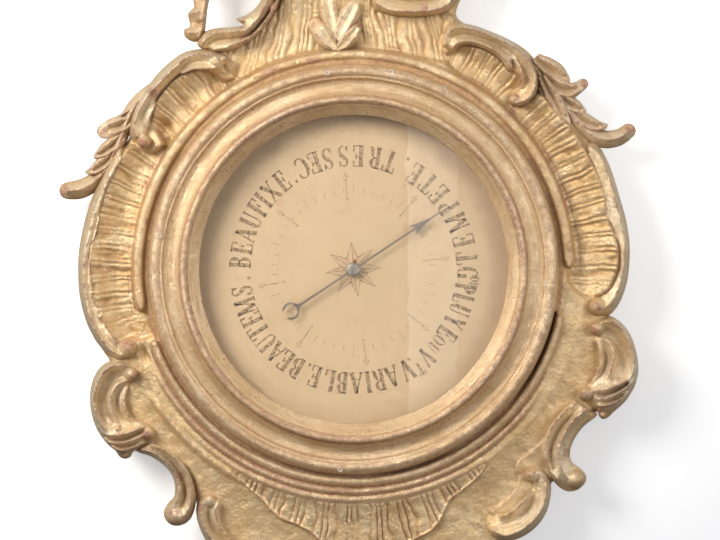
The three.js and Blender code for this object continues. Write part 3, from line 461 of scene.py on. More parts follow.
DULL = metal("steel_dull", (0.30, 0.275, 0.24), (0.20, 0.17, 0.135), 0.50, bump=0.5)
IRON = metal("iron_black", (0.055, 0.05, 0.047), (0.10, 0.06, 0.04), 0.55, bump=0.7)
NICKEL = metal("nickel_silver", (0.56, 0.54, 0.49), (0.40, 0.37, 0.31), 0.33)
COPPER = metal("copper_tarnished", (0.42, 0.17, 0.07), (0.20, 0.085, 0.04), 0.42)
NAIL = metal("nail_heads", (0.80, 0.73, 0.64), (0.40, 0.28, 0.20), 0.6, metallic=0.15, bump=0.6)
# ---------------------------------------------------------------- outlines in plan units
OUT = {
    "ground": [(350,-222), (375,-212), (398,-192), (414,-168), (440,-148), (458,-118), (468,-84), (470,-50), (466,-15), (456,14), (470,26), (492,33), (514,42), (531,55), (540,72), (552,90), (568,108), (582,128), (594,146), (606,165), (616,188), (623,210), (627,235), (627,262), (623,288), (615,306), (609,316), (622,327), (631,343), (636,362), (634,382), (625,399), (608,408), (592,414), (580,427), (571,442), (567,458), (560,474), (548,488), (548,505), (541,521), (527,533), (508,540), (486,552), (462,575), (436,602), (408,628), (380,652), (353,668), (326,655), (300,636), (276,612), (250,588), (226,568), (208,545), (199,520), (196,500), (190,478), (176,463), (158,455), (136,450), (116,444), (103,430), (95,413), (93,394), (98,376), (110,364), (104,352), (94,338), (86,320), (81,298), (80,270), (82,245), (88,220), (96,196), (106,174), (118,154), (130,136), (133,114), (142,96), (158,78), (176,62), (194,52), (212,47), (236,44), (256,30), (264,8), (258,-20), (250,-48), (250,-78), (258,-108), (276,-136), (292,-158), (306,-186), (326,-212)],
    "left_rim": [(118,146), (108,163), (98,184), (89,206), (83,228), (79,250), (78,270), (79.5,295), (85,318), (93,336), (103,350), (113,359), (124,362), (134,359), (141,351), (141,342), (134,336), (125,336), (118,340), (110,332), (103,318), (96,300), (92,280), (91,262), (92,248), (98,232), (101,212), (107,190), (117,170), (127,152)],
    "right_rim": [(584,146), (594,142), (603,152), (612,172), (620,198), (626,220), (629.5,242), (629.5,262), (627,282), (621,300), (613,312), (604,318), (593,316), (587,307), (589,298), (597,294), (606,290), (612,279), (616,264), (616,248), (612,234), (606,218), (604,200), (600,184), (594,170), (588,158)],
    "upper_left_scroll": [(200,49), (185,52), (172,60), (160,71), (149,84), (139,98), (132,113), (128.5,128), (131,140), (139,148), (149,150), (153,144), (150,134), (151,120), (156,106), (164,92), (176,79), (190,72), (204,71), (214,76), (224,83), (233,82), (237,73), (232,62), (224,54), (213,49)],
    "upper_right_scroll": [(455,23), (472,25), (492,32), (510,40), (525,52), (535,67), (539,83), (536,96), (528,104), (516,107), (508,103), (511,95), (519,88), (521,80), (514,74), (506,72), (500,62), (490,54), (476,48), (462,46), (453,52), (445,54), (441,46), (443,35), (447,27)],
    "upper_left_leaves": [(152,84), (138,95), (124,108), (113,119), (118,122), (106,125), (98,131), (103,138), (113,139), (112,147), (104,153), (93,155), (96,162), (104,160), (102,168), (90,170), (84,174), (86,178), (74,181), (62,181), (57,189), (61,198), (72,201), (86,199), (98,190), (108,174), (118,158), (128,144), (134,128), (142,112), (152,98)],
    "upper_right_leaves": [(500,35), (518,43), (534,50), (542,56), (543,64), (541,68), (552,72), (565,76), (571,85), (579,81), (586,84), (585,91), (576,96), (571,103), (584,110), (582,117), (592,122), (606,124), (606,131), (618,129), (626,125), (634,129), (636,138), (631,146), (620,150), (606,150), (594,146), (582,136), (568,122), (554,106), (540,90), (526,70), (512,52)],
    "lower_left_c": [(135,362), (121,359), (108,363), (97,374), (91,388), (90,404), (93,420), (101,435), (111,446), (118,454), (126,458), (132,453), (142,450), (150,443), (153,432), (148,424), (139,428), (129,422), (124,408), (123,394), (128,385), (136,380), (139,371)],
    "lower_right_c": [(590,318), (600,316), (612,317), (624,326), (633,342), (638,359), (638,376), (632,392), (622,404), (613,412), (605,418), (599,412), (588,408), (579,401), (577,392), (582,385), (590,387), (599,382), (608,370), (611,358), (609,346), (602,338), (593,336), (588,328)],
    "lower_left_s": [(154,440), (168,448), (182,461), (191,476), (197,494), (196,509), (189,520), (178,525), (168,523), (163,515), (166,506), (174,500), (177,490), (173,477), (162,465), (147,456), (142,452)],
    "lower_right_s": [(576,399), (563,408), (551,422), (543,438), (541,455), (546,470), (556,484), (566,491), (577,490), (585,483), (586,475), (580,468), (572,462), (570,452), (574,440), (583,427), (597,415), (590,410)],
    "base_left_scroll": [(207,494), (199,499), (196,510), (199,526), (207,542), (219,555), (234,565), (250,570), (262,566), (266,556), (260,548), (248,546), (234,538), (224,526), (221,514), (224,504), (219,496)],
    "base_right_scroll": [(526,467), (537,465), (547,471), (551,484), (550,500), (545,515), (535,528), (520,538), (504,541), (491,536), (484,525), (486,514), (495,509), (504,512), (514,506), (524,496), (531,486), (524,481), (521,474)],
    "pendant_left_scroll": [(262,576), (275,592), (292,610), (312,628), (330,640), (350,650), (352,630), (332,616), (318,608), (304,594), (292,580), (280,570), (270,568)],
    "pendant_right_scroll": [(478,543), (490,545), (480,560), (462,577), (444,596), (424,614), (402,630), (384,641), (352,640), (356,624), (378,617), (394,608), (412,593), (430,576), (446,560), (462,548)],
    "pendant_leaf": [(353,606), (364,618), (366,640), (382,648), (392,664), (384,680), (370,690), (353,698), (336,690), (322,680), (315,664), (325,648), (344,640), (344,618)],
    "bottom_shell": [(246,484), (256,499), (270,515), (286,521), (302,526), (315,536), (326,552), (340,572), (354,586), (370,576), (388,560), (404,546), (424,535), (440,524), (446,510), (452,499), (467,488), (479,478), (484,467), (470,478), (450,488), (420,497), (390,502), (360,503), (330,500), (300,494), (270,487), (258,484)],
    "crest_left_scroll": [(198,46), (199,38), (206,31), (218,28), (232,27), (243,25), (236,19), (246,15), (256,7), (262,-4), (258,-22), (250,-40), (246,-62), (246,-86), (252,-110), (264,-132), (282,-148), (300,-150), (308,-138), (302,-126), (290,-126), (278,-112), (270,-92), (266,-70), (268,-48), (276,-26), (281,-6), (274,14), (260,32), (244,45), (226,52), (210,52)],
    "crest_right_scroll": [(372,8), (384,14), (402,17), (422,17), (442,14), (456,4), (464,-12), (472,-36), (474,-64), (468,-92), (454,-118), (436,-138), (418,-150), (404,-146), (404,-132), (418,-126), (434,-110), (446,-88), (450,-64), (446,-46), (434,-58), (414,-62), (394,-54), (380,-38), (372,-16)],
    "crest_finial": [(350,-262), (370,-256), (388,-240), (398,-220), (412,-204), (418,-184), (406,-170), (388,-164), (376,-150), (350,-146), (328,-152), (316,-166), (298,-170), (288,-184), (294,-204), (308,-218), (316,-240), (332,-256)],
    "crest_sprig": [(196,42), (186,38), (184,30), (190,26), (188,14), (194,6), (190,-8), (186,-22), (178,-34), (184,-44), (194,-46), (192,-60), (198,-74), (192,-88), (200,-96), (212,-94), (222,-108), (236,-118), (246,-112), (240,-98), (226,-88), (216,-76), (214,-60), (212,-44), (214,-28), (212,-10), (208,6), (206,24), (204,34)],
    "crest_fleuron": [(334,49), (320,46), (312,32), (313,20), (322,18), (326,8), (322,-6), (328,-20), (340,-26), (350,-16), (358,-4), (360,10), (358,26), (350,40)],
    "cabochon": [(352,-152), (370,-142), (382,-120), (387,-96), (382,-72), (368,-54), (352,-48), (336,-54), (322,-72), (317,-96), (322,-120), (334,-142)],
    "left_cove": [(168,148), (152,156), (130,150), (117,170), (107,190), (101,212), (98,232), (92,248), (91,262), (92,280), (96,300), (103,318), (110,332), (118,338), (130,334), (142,336), (152,330), (146,315), (139,311), (135,300), (132,280), (132,262), (134,240), (138,220), (143,200), (150,180), (158,163)],
    "upper_left_cove": [(172,142), (160,128), (155,112), (164,94), (176,81), (190,74), (204,73), (214,78), (224,85), (236,82), (224,89), (206,101), (190,117)],
    "top_cove": [(240,76), (234,64), (228,54), (244,47), (262,34), (276,16), (286,0), (290,-20), (300,-40), (318,-44), (352,-44), (376,-40), (370,-10), (370,8), (384,16), (402,19), (422,19), (444,16), (452,22), (444,28), (439,40), (440,52), (446,58), (430,57), (400,50), (370,47), (340,47), (305,49), (275,58), (254,68)],
    "upper_right_cove": [(458,70), (450,60), (456,52), (464,48), (476,50), (490,56), (500,64), (508,75), (520,80), (512,92), (508,106), (496,94), (476,80)],
    "right_cove": [(514,110), (530,105), (540,98), (552,112), (568,128), (580,146), (588,160), (594,172), (600,186), (604,202), (606,219), (612,235), (616,250), (616,264), (612,278), (606,289), (597,293), (584,292), (574,284), (570,270), (571,250), (569,228), (564,204), (556,180), (546,156), (532,132)],
}


# ---------------------------------------------------------------- carved relief
def solve(fix, val, iters=220, w=1.86):
    """Smooth field that holds `val` where `fix` is set: red-black relaxation on the plan grid."""
    ny, nx = fix.shape
    f = np.where(fix, val, val[fix].mean() if fix.any() else 0.0)
    # coarse start: spread the fixed values outwards
    for s in (16, 8, 4, 2):
        k = max(1, s)
        acc = np.zeros_like(f); cnt = np.zeros_like(f)
        acc[fix] = val[fix]; cnt[fix] = 1
        for ax in (0, 1):
            a2, c2 = acc.copy(), cnt.copy()
            for sh in range(1, k + 1):
                a2 += np.roll(acc, sh, ax) + np.roll(acc, -sh, ax); c2 += np.roll(cnt, sh, ax) + np.roll(cnt, -sh, ax)
            acc, cnt = a2, c2
        m = (~fix) & (cnt > 0)
        f[m] = acc[m] / cnt[m]
    jj, ii = np.indices(fix.shape)
    free = ~fix
    free[0] = free[-1] = False; free[:, 0] = free[:, -1] = False
    red, black = free & ((ii + jj) % 2 == 0), free & ((ii + jj) % 2 == 1)
    for _ in range(iters):
        for m in (red, black):
            g = np.zeros_like(f)
            g[1:-1, 1:-1] = 0.25 * (f[:-2, 1:-1] + f[2:, 1:-1] + f[1:-1, :-2] + f[1:-1, 2:])
            f[m] += w * (g[m] - f[m])
    return f


def relief(name, outline, feats, lo, hi, node=None, mat=None, step=0.8, domes=(), n_amp=0.30, under=1.6, thick=None,
           power=0.5, bole=(), body="frame", seed=1, back=34.4, tilt=None, detail=0.22, blurs=1, edge_v=0.0, groove_k=1.0, crisp=0.0):
    C = curve(outline, True, 1.3)
    u0, v0 = C.min(0) - 2 * step; u1, v1 = C.max(0) + 2 * step
    U, V = np.meshgrid(np.arange(u0, u1 + step, step), np.arange(v0, v1 + step, step))
    ins = inside(U, V, C)
    d_out, _ = dist(U, V, C, True)
    fix = ~ins | (d_out < 0.45 * step)
    val = np.full(U.shape, float(edge_v))
    for feat in feats:
        pts, vs = feat[0], feat[1:]
        P = np.asarray(pts, float)
        t = np.linspace(0, len(vs) - 1, len(P)) if len(vs) > 1 else np.zeros(len(P))
        col = np.interp(t, np.arange(len(vs)), vs) if len(vs) > 1 else np.full(len(P), vs[0])
        c = curve(np.column_stack([P, col]), False, 1.2)
        d, e = dist(U, V, c)
        m = (d < 0.72 * step) & ins
        fix |= m
        val = np.where(m, e[..., 0], val)
    f = solve(fix, val)
    f = np.clip(f, 0, 1)
    prof = (0.60 - 0.34 * crisp) * (1 - (1 - f) ** 2) ** power + (0.40 + 0.34 * crisp) * f ** (1.5 + 0.6 * crisp)
    H = lo + (hi - lo) * prof
    # veining tool lines that follow the ridges and fade in and out
    fade_ = np.clip(0.45 + 0.9 * noise(U, V, 11, seed + 7), 0, 1) * smoothstep(1.5, 4.0, d_out)
    for lv, wd, dp_ in ((0.40, 0.035, 0.8), (0.60, 0.03, 1.0), (0.80, 0.022, 0.9)):
        H = H - dp_ * groove_k * np.exp(-((f - lv) / wd) ** 2) * fade_
    for (cu, cv, R, hc, k) in domes:  # volute knobs
        q = R * R - (U - cu) ** 2 - (V - cv) ** 2
        H = np.where(q > 0, np.maximum(H, hc + k * np.sqrt(np.maximum(q, 0))), H)
    if tilt is not None:
        H = H + tilt(U, V)
    H = blur(H, blurs)
    # tool marks and slight unevenness of hand carving
    H = H + n_amp * noise(U, V, 17, seed) + detail * noise(U, V, 5.5, seed + 1) + 0.10 * noise(U, V, 2.4, seed + 2)
    H = np.where(ins, H, lo)
    keep = inside(U[:-1, :-1] + step / 2, V[:-1, :-1] + step / 2, C)
    bot = np.full(U.shape, back) if thick is None else np.maximum(back, H - thick)
    bo = np.zeros(U.shape)
    for (cu, cv, R) in bole:
        bo = np.maximum(bo, smoothstep(R, R * 0.35, np.hypot(U - cu, V - cv)))
    # ridges are rubbed through in patches
    bo = np.maximum(bo, smoothstep(0.84, 0.96, f) * np.clip(0.10 + 1.0 * noise(U, V, 13, seed + 9), 0, 1) * 0.9)
    oc = np.clip(1 - f * 1.9, 0, 1) * (d_out > 1.2)
    ob = grid_solid(name, U, V, keep, H, bot, [C], mat or GILT, edge=H * 0.5 + lo * 0.5, under=under,
                    attrs={"bole": bo, "ochre": oc * 0.75, "matte": oc, "tone": np.clip(0.45 * noise(U, V, 14, seed + 3) + 0.5 * (1 - f), 0, 1)})
    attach(ob, body)
    if node:
        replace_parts(ob, node)
    return ob


def leaf(name, spine, hi, node, seed, lo=31, back=27, thick=8, kind="leaf", tip_round=True, mat=None, bole=(), mid=0.5, edge=0.42):
    """Carved leaf or tail along a spine of (u, v, half width), with a cut midrib and raised margins."""
    S = curve(spine, False, 2.0)
    T = np.gradient(S[:, :2], axis=0); T /= np.linalg.norm(T, axis=1)[:, None]
    Nn = np.column_stack([-T[:, 1], T[:, 0]])
    S[:, 2] *= 1.12 if kind == "roll" else 1.38
    w = S[:, 2:3]
    L, R = S[:, :2] + Nn * w, S[:, :2] - Nn * w
    end = []
    if tip_round and S[-1, 2] > 1.6:
        for a in np.linspace(0, math.pi, 9)[1:-1]:
            end.append(S[-1, :2] + S[-1, 2] * (Nn[-1] * math.cos(a) + T[-1] * math.sin(a)))
    out = np.concatenate([L, np.array(end).reshape(-1, 2), R[::-1]])[::2]
    m = len(S)
    feats = []
    if kind == "leaf":
        feats.append((S[:, :2][: max(3, int(m * 0.86)): 2], mid, mid - 0.12, mid))
        for sg in (1, -1):
            q = (S[:, :2] + sg * Nn * w * 0.52)[: max(3, int(m * 0.9)): 2]
            feats.append((q, 0.85, 1.0, 0.9))
    else:
        feats.append((S[:, :2][::2], 0.9, 1.0, 1.0))
        q = (S[:, :2] + Nn * w * 0.62)[: max(3, int(m * 0.75)): 2]
        feats.append((q, 0.45, 0.35, 0.5))
    relief(name, out, feats, lo, hi, node, mat or GILT_LEAF, step=0.65, thick=thick, back=back, seed=seed, under=0.8, n_amp=0.3, detail=0.25, bole=bole, edge_v=edge if kind == "leaf" else 0.12, groove_k=0.6)


# ---- scrolls of the upper left
relief("carved_upper_left_scroll", OUT["upper_left_scroll"], [
    ([(219, 58), (213, 55.5), (204, 54), (197.8, 54), (187.5, 56.6), (174.8, 66.8), (164.6, 77), (154.4, 87.2), (146.7, 96.1), (140.4, 106.3), (135.3, 119.1), (133.3, 129.3), (135.3, 136.9)], 0.75, 1, 1, 1, 0.7),
    ([(211, 64), (204, 62), (196, 62), (186, 66), (175, 76), (164, 87), (154.4, 97), (146.7, 107.5), (141.6, 116.5), (140.6, 124.5), (143, 134)], 0.72, 0.64, 0.60, 0.60, 0.55),
    ([(220, 66), (214, 68.5), (208, 69.3), (195.2, 69), (184, 74), (173.5, 84.0), (165.9, 93.0), (159.5, 101), (153, 111), (149, 121), (149, 128)], 0.85, 0.98, 0.95, 0.9, 0.45),
    ([(197, 72.6), (186, 77), (176, 86.5), (168, 95.5), (162, 103)], 0.78),
    ([(236, 66), (231, 60), (224, 57)], 0.8, 0.85, 0.9),
    ([(224, 66), (229, 71), (229, 77)], 0.15),
], 36, 57.5, "upper_left_scroll", domes=[(144.5, 141.5, 7.2, 44, 1.5), (216, 62.5, 5.2, 50, 1.3)], seed=11, crisp=0.5, groove_k=0.6,
    bole=[(143, 143, 7), (152, 92, 7)])

UL = "upper_left_leaves"
leaf("leaf_upper_left_stem", [(152, 88, 4.5), (141, 98, 5.8), (132, 110, 6.4), (126.4, 122, 6.6), (122.2, 134, 6.4), (117.6, 146, 6.0), (111.6, 158, 5)], 45, UL, 21, back=30, kind="roll")
leaf("leaf_upper_left_2", [(132, 120, 3.4), (123.4, 124.4, 6.8), (112.5, 128.6, 7.4), (104, 131.4, 5.2)], 46, UL, 23, bole=[(103, 131, 7)])
leaf("leaf_upper_left_tip", [(131, 112, 3.0), (124.5, 115.5, 2.8), (117, 117.6, 0.8)], 44, UL, 22, tip_round=False)
leaf("leaf_upper_left_3", [(124, 135, 3.8), (115, 143.4, 5.8), (105, 151, 5.4), (93.6, 157.6, 1.2)], 45, UL, 24, tip_round=False)
leaf("leaf_upper_left_4", [(114, 155, 3.8), (104.6, 163, 5.8), (95.6, 169.2, 4.4), (85.6, 173.4, 1.1)], 44, UL, 25, tip_round=False)
leaf("leaf_upper_left_tail", [(114, 150, 4.5), (110, 163, 6.2), (102, 174, 7.4), (91, 184, 8.2), (79, 189.4, 8.6), (68, 190.6, 7.8)], 43, UL, 26, kind="roll", lo=28, back=24, thick=12, bole=[(63, 190, 9)])

# ---- rims of the two side coves
relief("carved_left_rim", OUT["left_rim"], [
    ([(120, 151), (112, 170), (104, 190), (97, 208), (90, 230), (85.5, 252), (83.5, 275), (86, 300), (92, 322), (100, 337), (111, 350), (123, 356)], 0.75, 1, 1, 1, 1, 0.8),
    ([(122, 158), (113, 177), (105, 196), (98.5, 216), (93, 236), (88.5, 258), (88.2, 280.6), (91.5, 300), (95.5, 319.4), (100.8, 331.5), (109, 343), (117, 350)], 0.75, 0.72, 0.68, 0.66, 0.62, 0.5),
    ([(106, 200), (99, 221), (95, 238), (91.0, 262), (91.2, 278), (94.3, 292.7), (98.8, 307.3), (104.6, 320.6), (110.8, 333.6), (117.4, 342)], 0.85, 0.92, 0.92, 0.92, 0.8),
], 35, 52, "left_rim", domes=[(128.2, 348.5, 9.9, 43, 1.15)], groove_k=0.35, seed=31, bole=[(128, 346, 8)])

relief("carved_right_rim", OUT["right_rim"], [
    ([(592, 147), (602, 160), (611.7, 185.8), (617, 206.4), (621.8, 226), (624.3, 243.3), (623.6, 265), (619.5, 285.6), (612.5, 301), (604, 309)], 0.8, 1, 1, 1, 0.8),
    ([(588, 149), (597, 165), (604.5, 184), (608.6, 203), (611.5, 222), (617.5, 240), (619, 258), (616.6, 274), (610.6, 288), (602, 298)], 0.78, 0.74, 0.70, 0.68, 0.5),
    ([(588, 155), (594.4, 168), (600.5, 184), (604.5, 203), (607, 222), (613.4, 238), (615, 252), (613, 268), (608.5, 281), (601, 291)], 0.75, 0.92, 0.92, 0.85, 0.5),
], 35, 52, "right_rim", domes=[(597.4, 306.4, 9.2, 43, 1.15)], groove_k=0.35, seed=41, bole=[(597, 306, 7)])

# ---- C scrolls
OUT["lower_left_c"] = [(108.8, 361.5), (117.5, 360), (127.5, 361), (135, 365), (138.6, 371.3), (136.3, 377.5), (132.5, 383), (129.5, 389), (127.5, 396), (127.5, 404), (130, 412), (136, 418.6), (146, 422),
                       (153.8, 427), (155.8, 434), (152.5, 440.5), (145, 445.5), (138.8, 449), (133, 452), (130.8, 456.4), (125.5, 458.8), (119.6, 456.6), (115.6, 451), (108.8, 445.5), (102.5, 438), (96.3, 428), (92, 415.5), (90, 402.5), (90.5, 390), (93.8, 377.5), (100, 367.5)]
relief("carved_lower_left_c", OUT["lower_left_c"], [
    ([(129, 366.5), (120, 364.5), (110, 367), (102, 374), (96.5, 386), (94, 400), (95.5, 412.5), (100, 422.5), (107, 429.5), (115, 431.3)], 0.8, 1, 1, 1, 0.9),
    ([(124, 373), (113, 373.6), (105, 381), (100.3, 392), (99.2, 402), (101.4, 413), (106.5, 422)], 0.55, 0.42, 0.38, 0.4, 0.5),
    ([(126, 377.4), (116, 379.2), (108.8, 386.5), (105.3, 396), (104.8, 406), (107.5, 415.6), (113, 423)], 0.5, 0.42, 0.40, 0.42, 0.5),
    ([(129, 380.4), (118.5, 383.4), (112, 392), (110, 403.8), (111.9, 413.6), (116.6, 421.6), (121.4, 426)], 0.6, 0.86, 0.9, 0.86, 0.6),
    ([(127, 385), (119.6, 390.6), (116.6, 400), (117.8, 409.6), (122.6, 418.4), (131.3, 424)], 0.45, 0.40, 0.40, 0.48),
    ([(128.4, 387), (125, 393.4), (124.2, 401.6), (126.6, 411), (133, 419.4), (144, 424)], 0.5, 0.72, 0.75, 0.7, 0.65),
    ([(98, 427.6), (105, 433.8), (115, 436.2), (127.5, 433.5), (138.8, 428.8), (147, 426.4)], 0.6, 0.95, 1.0, 0.95, 0.8),
    ([(101, 434.6), (109, 439), (122, 439.8), (134, 435.4), (144, 431)], 0.6, 0.52, 0.52, 0.65),
    ([(103, 437.8), (110.5, 442.4), (122.5, 443.4), (135, 439), (145, 434)], 0.6, 0.92, 0.95, 0.85),
    ([(107, 443), (118, 446.8), (130, 445.6), (141, 440.4)], 0.6, 0.55, 0.55, 0.65),
    ([(111, 446.6), (119.6, 450.4), (131, 448.6), (143, 443)], 0.6, 0.85, 0.85, 0.6),
], 35.5, 54, "lower_left_c_scroll", domes=[(131.4, 374.4, 6.8, 45, 1.25), (148.6, 433, 6.6, 43, 1.3), (117.6, 429.2, 3.8, 48, 1.2), (125.4, 454.8, 3.4, 38, 1.3)], seed=51, crisp=0.9,
    bole=[(134, 377, 6), (146, 436, 8), (124, 455, 4)])

OUT["lower_right_c"] = [(592.5, 319.6), (600, 316), (610, 316), (620, 321.6), (628.8, 332), (634.4, 345), (637.8, 360), (638.2, 373), (635, 385.6), (630.5, 394), (625.6, 401), (620.6, 406), (613, 412.6), (607.8, 417.6), (602.4, 419), (598.6, 415.4), (597, 410),
                        (590, 407.8), (582.5, 404), (577.8, 397), (577.6, 389), (583, 384), (589.6, 381.6), (595, 374.6), (597.6, 365), (597.6, 354), (595.4, 345), (590.8, 338), (589.4, 328.8)]
relief("carved_lower_right_c", OUT["lower_right_c"], [
    ([(598, 324.4), (604, 321.4), (612.5, 321.8), (621.3, 328.8), (628.4, 338.6), (632.8, 350), (634.8, 361.3), (633.6, 371.3), (629.4, 379.5)], 0.75, 1, 1, 1, 0.9),
    ([(607, 329.6), (616.4, 335.6), (623.4, 346.6), (626.4, 359.4), (624, 371), (617.5, 379.5)], 0.55, 0.42, 0.38, 0.4, 0.5),
    ([(605, 334), (612.4, 339.2), (618, 348.6), (619.4, 359), (616.8, 369.5), (610.5, 378.6)], 0.5, 0.42, 0.40, 0.42, 0.5),
    ([(602, 338.2), (608.8, 341.8), (612.8, 349), (614, 358.8), (612, 368.8), (607.5, 377.5), (602, 384)], 0.6, 0.86, 0.9, 0.86, 0.6),
    ([(598, 342), (604, 347.5), (606.8, 357.5), (605, 367.5), (600.6, 376), (594.6, 382.6)], 0.5, 0.40, 0.40, 0.48),
    ([(594.8, 341), (600, 350.5), (601, 362), (598, 373), (592, 381.6)], 0.5, 0.7, 0.75, 0.7, 0.55),
    ([(592.5, 391), (602.5, 390.6), (615, 386.6), (626.3, 381), (634.4, 373.5)], 0.8, 0.95, 1.0, 0.95, 0.75),
    ([(594, 395), (604.6, 394.6), (617, 389.6), (627.6, 383.2)], 0.65, 0.52, 0.5, 0.6),
    ([(595, 399), (606.3, 398.4), (618.8, 393), (628.8, 386), (635, 379)], 0.75, 0.92, 0.95, 0.9, 0.65),
    ([(597, 402), (607, 401.8), (618.4, 396.8), (628, 389.6)], 0.65, 0.55, 0.52, 0.6),
    ([(598, 405.6), (607.5, 405.4), (618.6, 400.4), (627.8, 393)], 0.7, 0.88, 0.9, 0.6),
    ([(600, 410), (608, 409.6), (617, 405)], 0.55, 0.5, 0.55),
], 35.5, 54, "lower_right_c_scroll", domes=[(597.2, 328.6, 6.8, 45, 1.25), (585, 393.6, 7.0, 43, 1.3), (616, 381, 2.8, 47, 1.3), (602.8, 415, 3.2, 38, 1.3)], seed=61, crisp=0.9,
    bole=[(600, 410, 7), (594, 330, 6), (584, 396, 6)])

# ---- S scrolls below them
OUT["lower_left_s"] = [(134, 449), (140, 446), (148, 441.3), (157.5, 443.8), (172.5, 452), (183.8, 462.5), (191.3, 475), (195.5, 490), (195.6, 505), (191.3, 517.5), (183.8, 524.3), (174, 525.6), (166.3, 520.8), (163.8, 511.6), (168.2, 503), (174.2, 496), (174.8, 484), (170.6, 473), (161.6, 463.5), (150, 456), (140, 452.8)]
relief("carved_lower_left_s", OUT["lower_left_s"], [
    ([(141, 449.6), (152, 452.2), (164.5, 460.4), (173.8, 471.4), (178.6, 484), (178.8, 496), (174.5, 505), (171, 512)], 0.7, 1, 1, 1, 0.8),
    ([(148, 448), (158, 451), (169, 459.4), (178, 470.8), (183.6, 483), (184.6, 496), (181, 507)], 0.5, 0.40, 0.36, 0.38, 0.5),
    ([(150, 444.6), (160.4, 447.6), (173, 456), (183, 467), (189.4, 480), (191.4, 494), (189.4, 507), (184.6, 516)], 0.7, 1, 1, 1, 0.85),
    ([(186, 476), (187.8, 486), (187.4, 497)], 0.75, 0.6, 0.7),
], 35, 50.5, "lower_left_s_scroll", domes=[(175.6, 515.8, 9.2, 40, 1.1)], seed=71, crisp=0.8, bole=[(180, 477, 7), (173, 513, 8)])

relief("carved_lower_right_s", OUT["lower_right_s"], [
    ([(576, 402.5), (565, 410.5), (553.5, 424.4), (546.6, 438.4), (544.5, 453), (548.5, 467), (556.5, 480)], 0.7, 1, 1, 1, 0.8),
    ([(582.2, 406), (570, 416.3), (559.5, 428.6), (553, 441), (550.6, 455), (553.6, 468.8)], 0.5, 0.38, 0.36, 0.38, 0.5),
    ([(587, 408.7), (575.4, 418.4), (565.7, 431), (559.5, 444), (558.5, 457), (562, 469.8), (569.5, 479.6)], 0.75, 1, 1, 1, 0.75),
    ([(589.5, 414), (579.6, 424), (571, 436), (567, 449)], 0.3, 0.3, 0.35, 0.5),
], 35, 50, "lower_right_s_scroll", domes=[(575.9, 479.4, 8.8, 40, 1.1)], seed=81, crisp=0.7, bole=[(567, 453, 6), (545, 462, 6)])

# ---- scrolls beside the shell
relief("carved_base_left_scroll", OUT["base_left_scroll"], [
    ([(206, 500), (201.8, 508), (201.6, 519), (206.5, 532), (216, 544), (228, 554), (243, 561), (257, 559)], 0.85, 1, 1, 1, 0.8),
    ([(210.5, 504), (208.4, 512.7), (209.6, 521), (215, 532), (224, 541), (237, 549), (250, 553)], 0.5, 0.38, 0.38, 0.5),
    ([(218, 502), (215.6, 511), (217.4, 521), (222.5, 531), (232, 539.5)], 0.8, 0.95, 0.9, 0.6),
], 35, 52, "base_left_scroll", domes=[(209.5, 500.5, 6.6, 43, 1.15)], seed=91, crisp=0.7, bole=[(200, 508, 6)])
relief("carved_base_right_scroll", OUT["base_right_scroll"], [
    ([(536, 471), (543.4, 476), (546.5, 486), (545.5, 499), (540, 512), (531, 523), (518, 532), (504, 536), (492, 530)], 0.8, 1, 1, 1, 0.8),
    ([(534, 482), (536.5, 489), (534, 499), (527, 510), (516, 519.5), (503, 524.5)], 0.5, 0.36, 0.38, 0.5),
    ([(529, 492), (523, 502), (513, 511), (501, 516.5)], 0.75, 0.95, 0.95, 0.7),
], 35, 52, "base_right_scroll", domes=[(531.6, 475, 7.2, 43, 1.15)], seed=101, crisp=0.7, bole=[(531, 474, 6)])

# ---- upper right scroll and its leaves
relief("carved_upper_right_scroll", OUT["upper_right_scroll"], [
    ([(444.5, 45), (446, 36), (450, 30), (456, 27), (466, 28), (481, 31.4), (495, 37), (508, 43.4), (519, 50), (529, 59.2), (534.6, 70), (536.2, 82), (533, 93), (526, 100.6), (516, 103)], 0.7, 1, 1, 1, 1, 0.85),
    ([(450, 45), (452, 38), (461, 34.6), (474, 36.6), (487, 40.8), (499.6, 46.4), (510.3, 52.9), (519, 61), (525, 70.6), (527, 81), (524, 91), (516, 97)], 0.62, 0.54, 0.50, 0.50, 0.5),
    ([(453, 48), (459.5, 42.6), (470, 41.6), (483, 44.6), (495, 50.6), (504, 58), (511, 67)], 0.75, 0.98, 0.98, 0.95, 0.7),
    ([(515, 58.5), (519.5, 66), (521.6, 75), (521, 84), (517, 90)], 0.6, 0.85, 0.85, 0.5),
    ([(512, 61), (515, 68)], 0.3, 0.35),
], 36, 57.5, "upper_right_scroll", domes=[(514.5, 99.5, 5.8, 45, 1.2)], seed=111, crisp=0.5, groove_k=0.6, bole=[(516, 98, 6), (527, 80, 5)])

UR = "upper_right_leaves"
leaf("leaf_upper_right_tail", [(533, 62, 5.5), (544, 83, 6.5), (556, 97.5, 6.6), (567.5, 109.6, 6.8), (578, 123.4, 7.2), (591.5, 134.4, 7.6), (606, 139.4, 8), (619.5, 137, 7.4), (628.5, 130.8, 6.6)], 44, UR, 121, kind="roll", lo=30, back=25, thick=12, bole=[(631, 129, 8)])
leaf("leaf_upper_right_1", [(534, 58, 4.0), (545, 65.6, 7.0), (556, 73.4, 7.6), (564.5, 78.6, 4.4), (570, 82, 1.0)], 45, UR, 122, tip_round=False)
leaf("leaf_upper_right_2", [(546, 77, 4.4), (557, 86.4, 7.4), (568, 91, 6.6), (577, 88, 4.6), (583, 83.8, 3.9)], 45.5, UR, 123, bole=[(584, 84, 6)])
leaf("leaf_upper_right_3", [(560, 96, 4), (570, 104, 5.8), (578.5, 108.8, 4.6), (586, 112, 1.0)], 44.5, UR, 124, tip_round=False)
